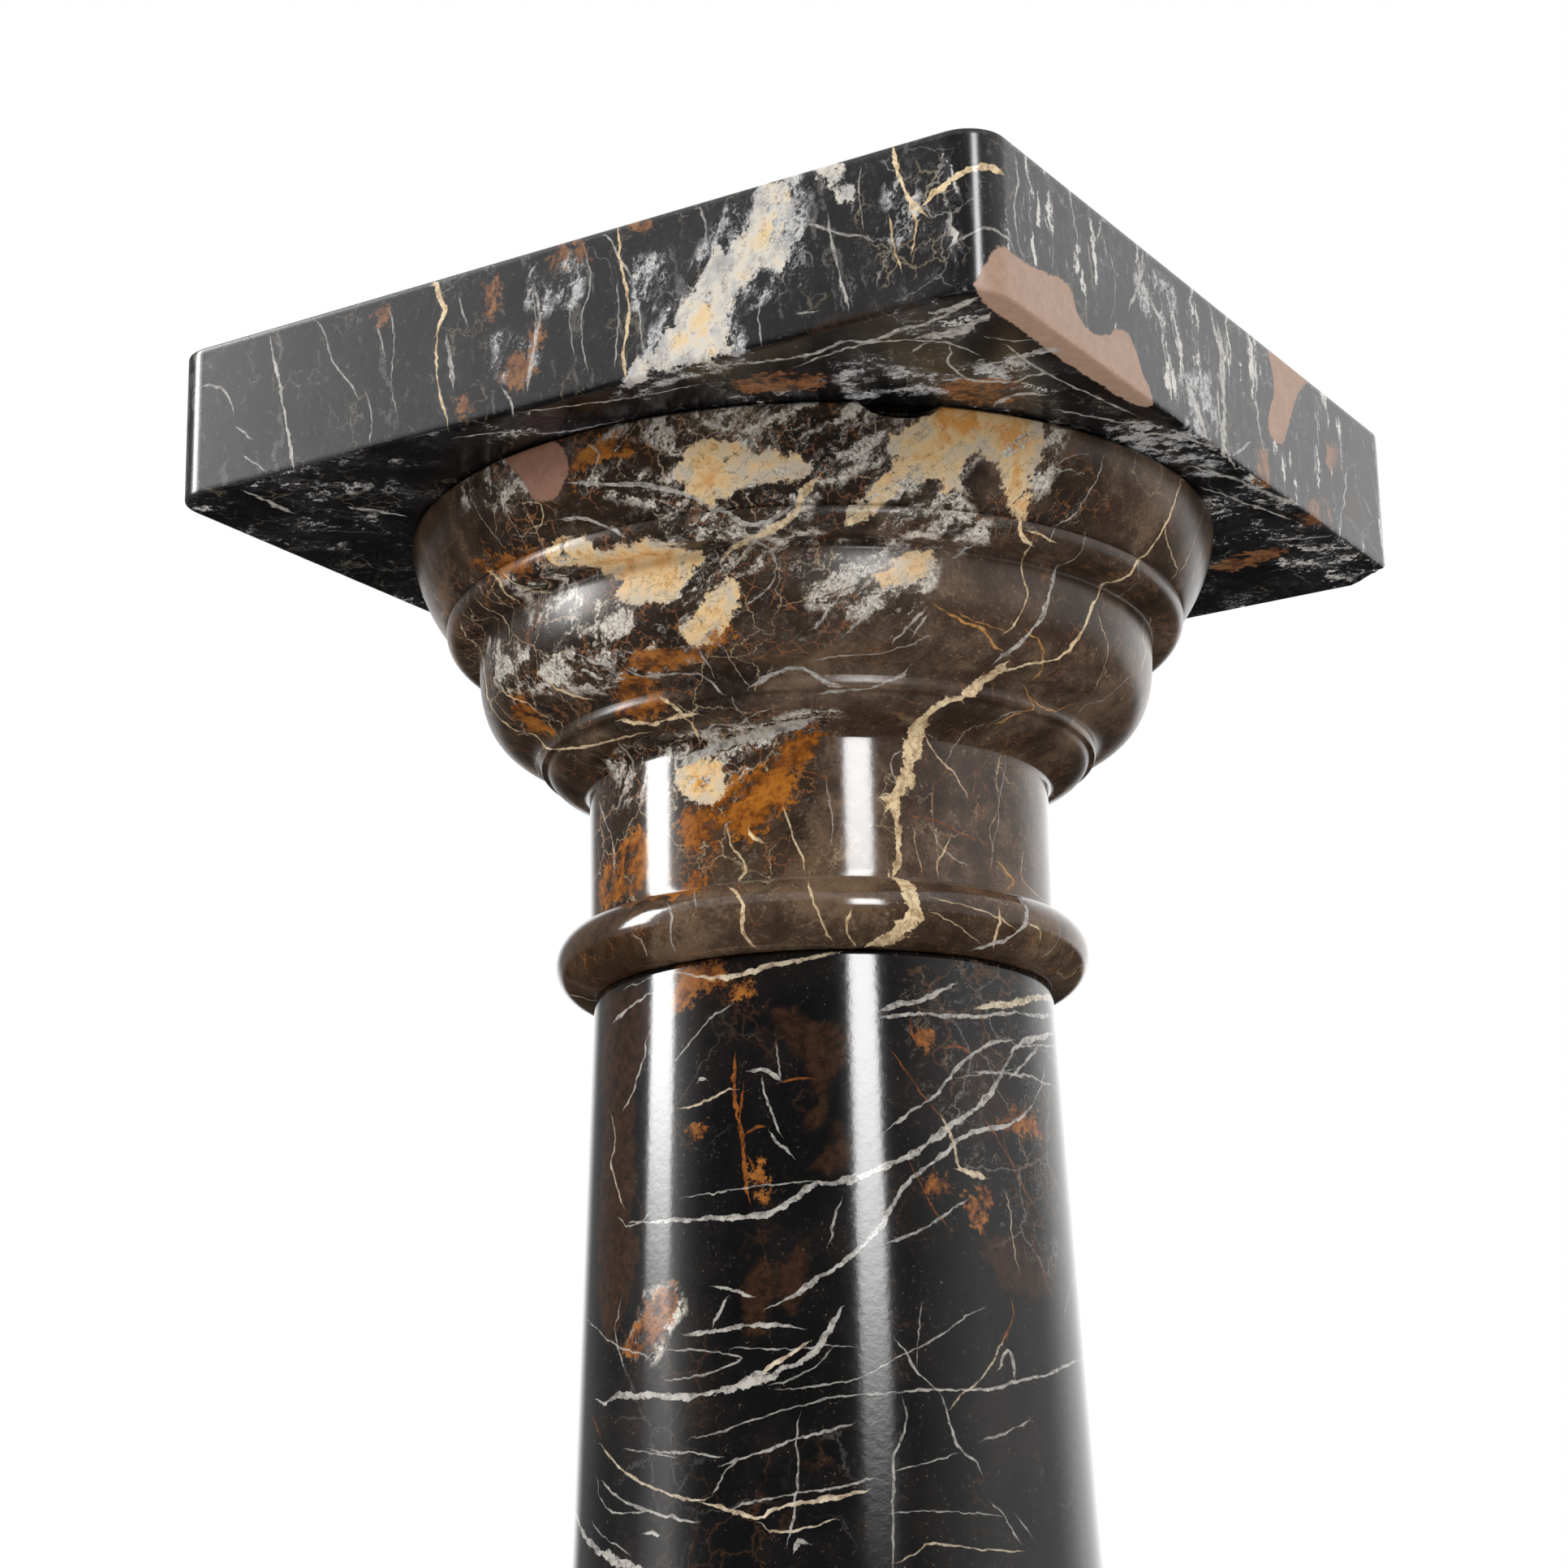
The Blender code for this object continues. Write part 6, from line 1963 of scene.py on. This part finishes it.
class TopSlab(SquaredStone):
    """The square slab on top, whose near corner and underside face the camera."""

    node = "top_slab"
    slot = "slab_marble"
    wild_veins = 54
    wild_lean = 1.3
    under_rows = 34
    # Cold black broken by pale shards, softly glossy on its sides and dull on the honed top.
    marble = Marble(
        "black and grey marble, sawn and polished", ("0E0D0E", "161516", "222124"), hairline_amount=0.32,
        hairline_mm=20.0, speckle_amount=0.35, streaks=0.85, streak_lean=8.0, busy_x=0.1400, under_z=0.9981,
        filler="AE8F7A", filler_dark="A07F6A", hairline_tones=("A8A4A0", "94866F"), satin=0.10, satin_z=0.5,
        seed=4.0, honed=0.42, flow_lean=62.0,
        cream=("A9A7A5", "CFC8BC", "D9BE92"), cloud=("3E3E44", "8B8B90", "C6C4C0"),
        rust=("382318", "623E27", "8A5E3B"), stains=("1C1612", "3A2A20"),
    )

    def __init__(self, view: PhotoView) -> None:
        """Set the chip under the corner at the right of the photograph."""
        super().__init__(view)
        centre = (self.high[0] - 0.0040, self.high[1] - 0.0020, self.low[2])
        self.chips = (Chip(centre, 0.0, (0.0105, 0.0090, 0.0034), (-0.55, -0.45, 0.70)),)

    areas = SLAB_AREAS
    veins = SLAB_VEINS


class Plinth(SquaredStone):
    """The squared plinth, which the photograph's edge cuts off."""

    node = "plinth"
    slot = "plinth_marble"
    fine_step = 0.0030
    coarse_step = 0.0045
    wild_veins = 34
    # Close to the slab's marble, with few shards, so that the foot stays quiet.
    marble = Marble(
        "black marble of the plinth, sawn and polished", ("111011", "1D1A1B", "2C282A"), hairline_amount=0.32,
        speckle_amount=0.35, streaks=0.18, honed=0.30, seed=5.0,
    )


@dataclass(frozen=True)
class Strip:
    """A tall soft light, by its azimuth from the camera and its elevation in degrees."""

    left: float
    right: float
    low: float
    high: float
    strength: float
    edge: float = 1.5
    fade: float = 5.0


class Studio:
    """White walls behind the stone, dark in front, two tall soft lights and a pale floor."""

    strips = (
        Strip(-95.0, -78.5, 9.2, 42.0, 21.0, fade=5.8),
        Strip(12.0, 26.5, 7.9, 34.0, 24.0, fade=8.4),
        Strip(-70.0, 70.0, 25.0, 62.0, 1.0, edge=12.0, fade=9.0),
    )
    wall_peak = 2.0
    walls = (
        (-180, 1.3), (-162, 1.3), (-150, 0.26), (-115, 0.12), (-96, 0.30), (-78, 2.00), (-70, 0.66),
        (-62, 0.15), (-54, 0.04), (-46, 0.02), (-26, 0.03), (0, 0.04), (36, 0.13), (54, 0.52),
        (72, 0.90), (112, 0.76), (132, 1.50), (158, 1.75), (180, 1.3),
    )
    ambient = 0.015
    floor_radius = 3.0
    floor_sides = 96
    floor_z = -0.0005

    def __init__(self, view: PhotoView) -> None:
        """Remember the camera that the lights are placed about."""
        self.view = view

    def build(self) -> None:
        """Light the world, lay the floor and set plain colour handling."""
        world = bpy.data.worlds.new("studio")
        bpy.context.scene.world = world
        world.use_nodes = True
        r = Recipe(world.node_tree)
        azimuth, elevation = self.directions(r)
        turn = r.add("MapRange", i0=azimuth, i1=-180.0, i2=180.0)
        places = tuple(degrees / 360 + 0.5 for degrees, _ in self.walls)
        greys = [(*(value / self.wall_peak,) * 3, 1.0) for _, value in self.walls]
        light = r.times(r.ramp(turn, places, greys), r.between(elevation, -3.0, 4.0), self.wall_peak)
        light = r.math("ADD", light, self.ambient)
        for strip in self.strips:
            glow = r.times(
                r.between(azimuth, strip.left, strip.left + strip.edge),
                r.between(azimuth, strip.right, strip.right - strip.edge),
                r.between(elevation, strip.low, strip.low + strip.fade),
                r.between(elevation, strip.high, strip.high - strip.fade),
                strip.strength,
            )
            light = r.math("ADD", light, glow)
        seen = r.add("LightPath", out="Is Camera Ray")
        lit = r.add("Background", Color=r.over(0.0, light, WHITE), Strength=1.0)
        backdrop = r.add("Background", Color=WHITE, Strength=1.0)
        r.add("OutputWorld", Surface=r.add("MixShader", i0=seen, i1=lit, i2=backdrop))
        bpy.context.scene.view_settings.view_transform = "Standard"
        self.lay_floor()

    def directions(self, r: Recipe) -> tuple[Socket, Socket]:
        """Directions of the world about the camera.

        Args:
            r: the world's nodes.

        Returns:
            Azimuth from the camera's bearing, to the right, and elevation, both in degrees.
        """
        direction = r.add("TexCoord", out="Generated")
        bearing = self.view.bearing
        front = (math.sin(bearing), -math.cos(bearing), 0.0)
        right = (math.cos(bearing), math.sin(bearing), 0.0)
        forward, sideways = (
            r.add("VectorMath", {"operation": "DOT_PRODUCT"}, out="Value", i0=direction, i1=axis)
            for axis in (front, right)
        )
        height = r.add("SeparateXYZ", out="Z", Vector=direction)
        azimuth = r.math("DEGREES", r.math("ARCTAN2", sideways, forward))
        return azimuth, r.math("DEGREES", r.math("ARCSINE", height))

    def lay_floor(self) -> None:
        """A pale disc under the plinth that whitens towards its edge."""
        angle = np.linspace(0, 2 * math.pi, self.floor_sides, endpoint=False)
        rim = np.column_stack([np.cos(angle), np.sin(angle), np.zeros_like(angle)]) * self.floor_radius
        mesh = bpy.data.meshes.new("floor")
        mesh.from_pydata(rim, [], [tuple(range(self.floor_sides))])
        floor = bpy.data.objects.new("floor", mesh)
        floor.location.z = self.floor_z
        floor.visible_glossy = False
        bpy.context.scene.collection.objects.link(floor)
        # Matt paper: it takes the plinth's soft shadow and has no edge against the background.
        material = bpy.data.materials.new("white paper sweep, matt")
        material.use_nodes = True
        r = Recipe(material.node_tree)
        place = r.add("TexCoord", out="Object")
        away = r.add("VectorMath", {"operation": "LENGTH"}, out="Value", i0=place)
        matt = r.add("BsdfPrincipled", Base_Color=linear("F0F0F0"), Roughness=0.9)
        white = r.add("Emission", Color=WHITE, Strength=1.0)
        fade = r.between(away, 0.5, self.floor_radius * 0.9)
        r.add("OutputMaterial", Surface=r.add("MixShader", i0=fade, i1=matt, i2=white))
        mesh.materials.append(material)


def main() -> None:
    """Build the studio and the stones, and note how large the model is."""
    logging.basicConfig(level=logging.INFO, format="%(message)s")
    view = PhotoView()
    view.add_camera()
    Studio(view).build()
    for kind in (Plinth, BaseMoulding, Shaft, Capital, TopSlab):
        stone = kind(view)
        stone.build()
        stone.dress()
    bpy.context.view_layer.update()


if __name__ == "__main__":
    main()
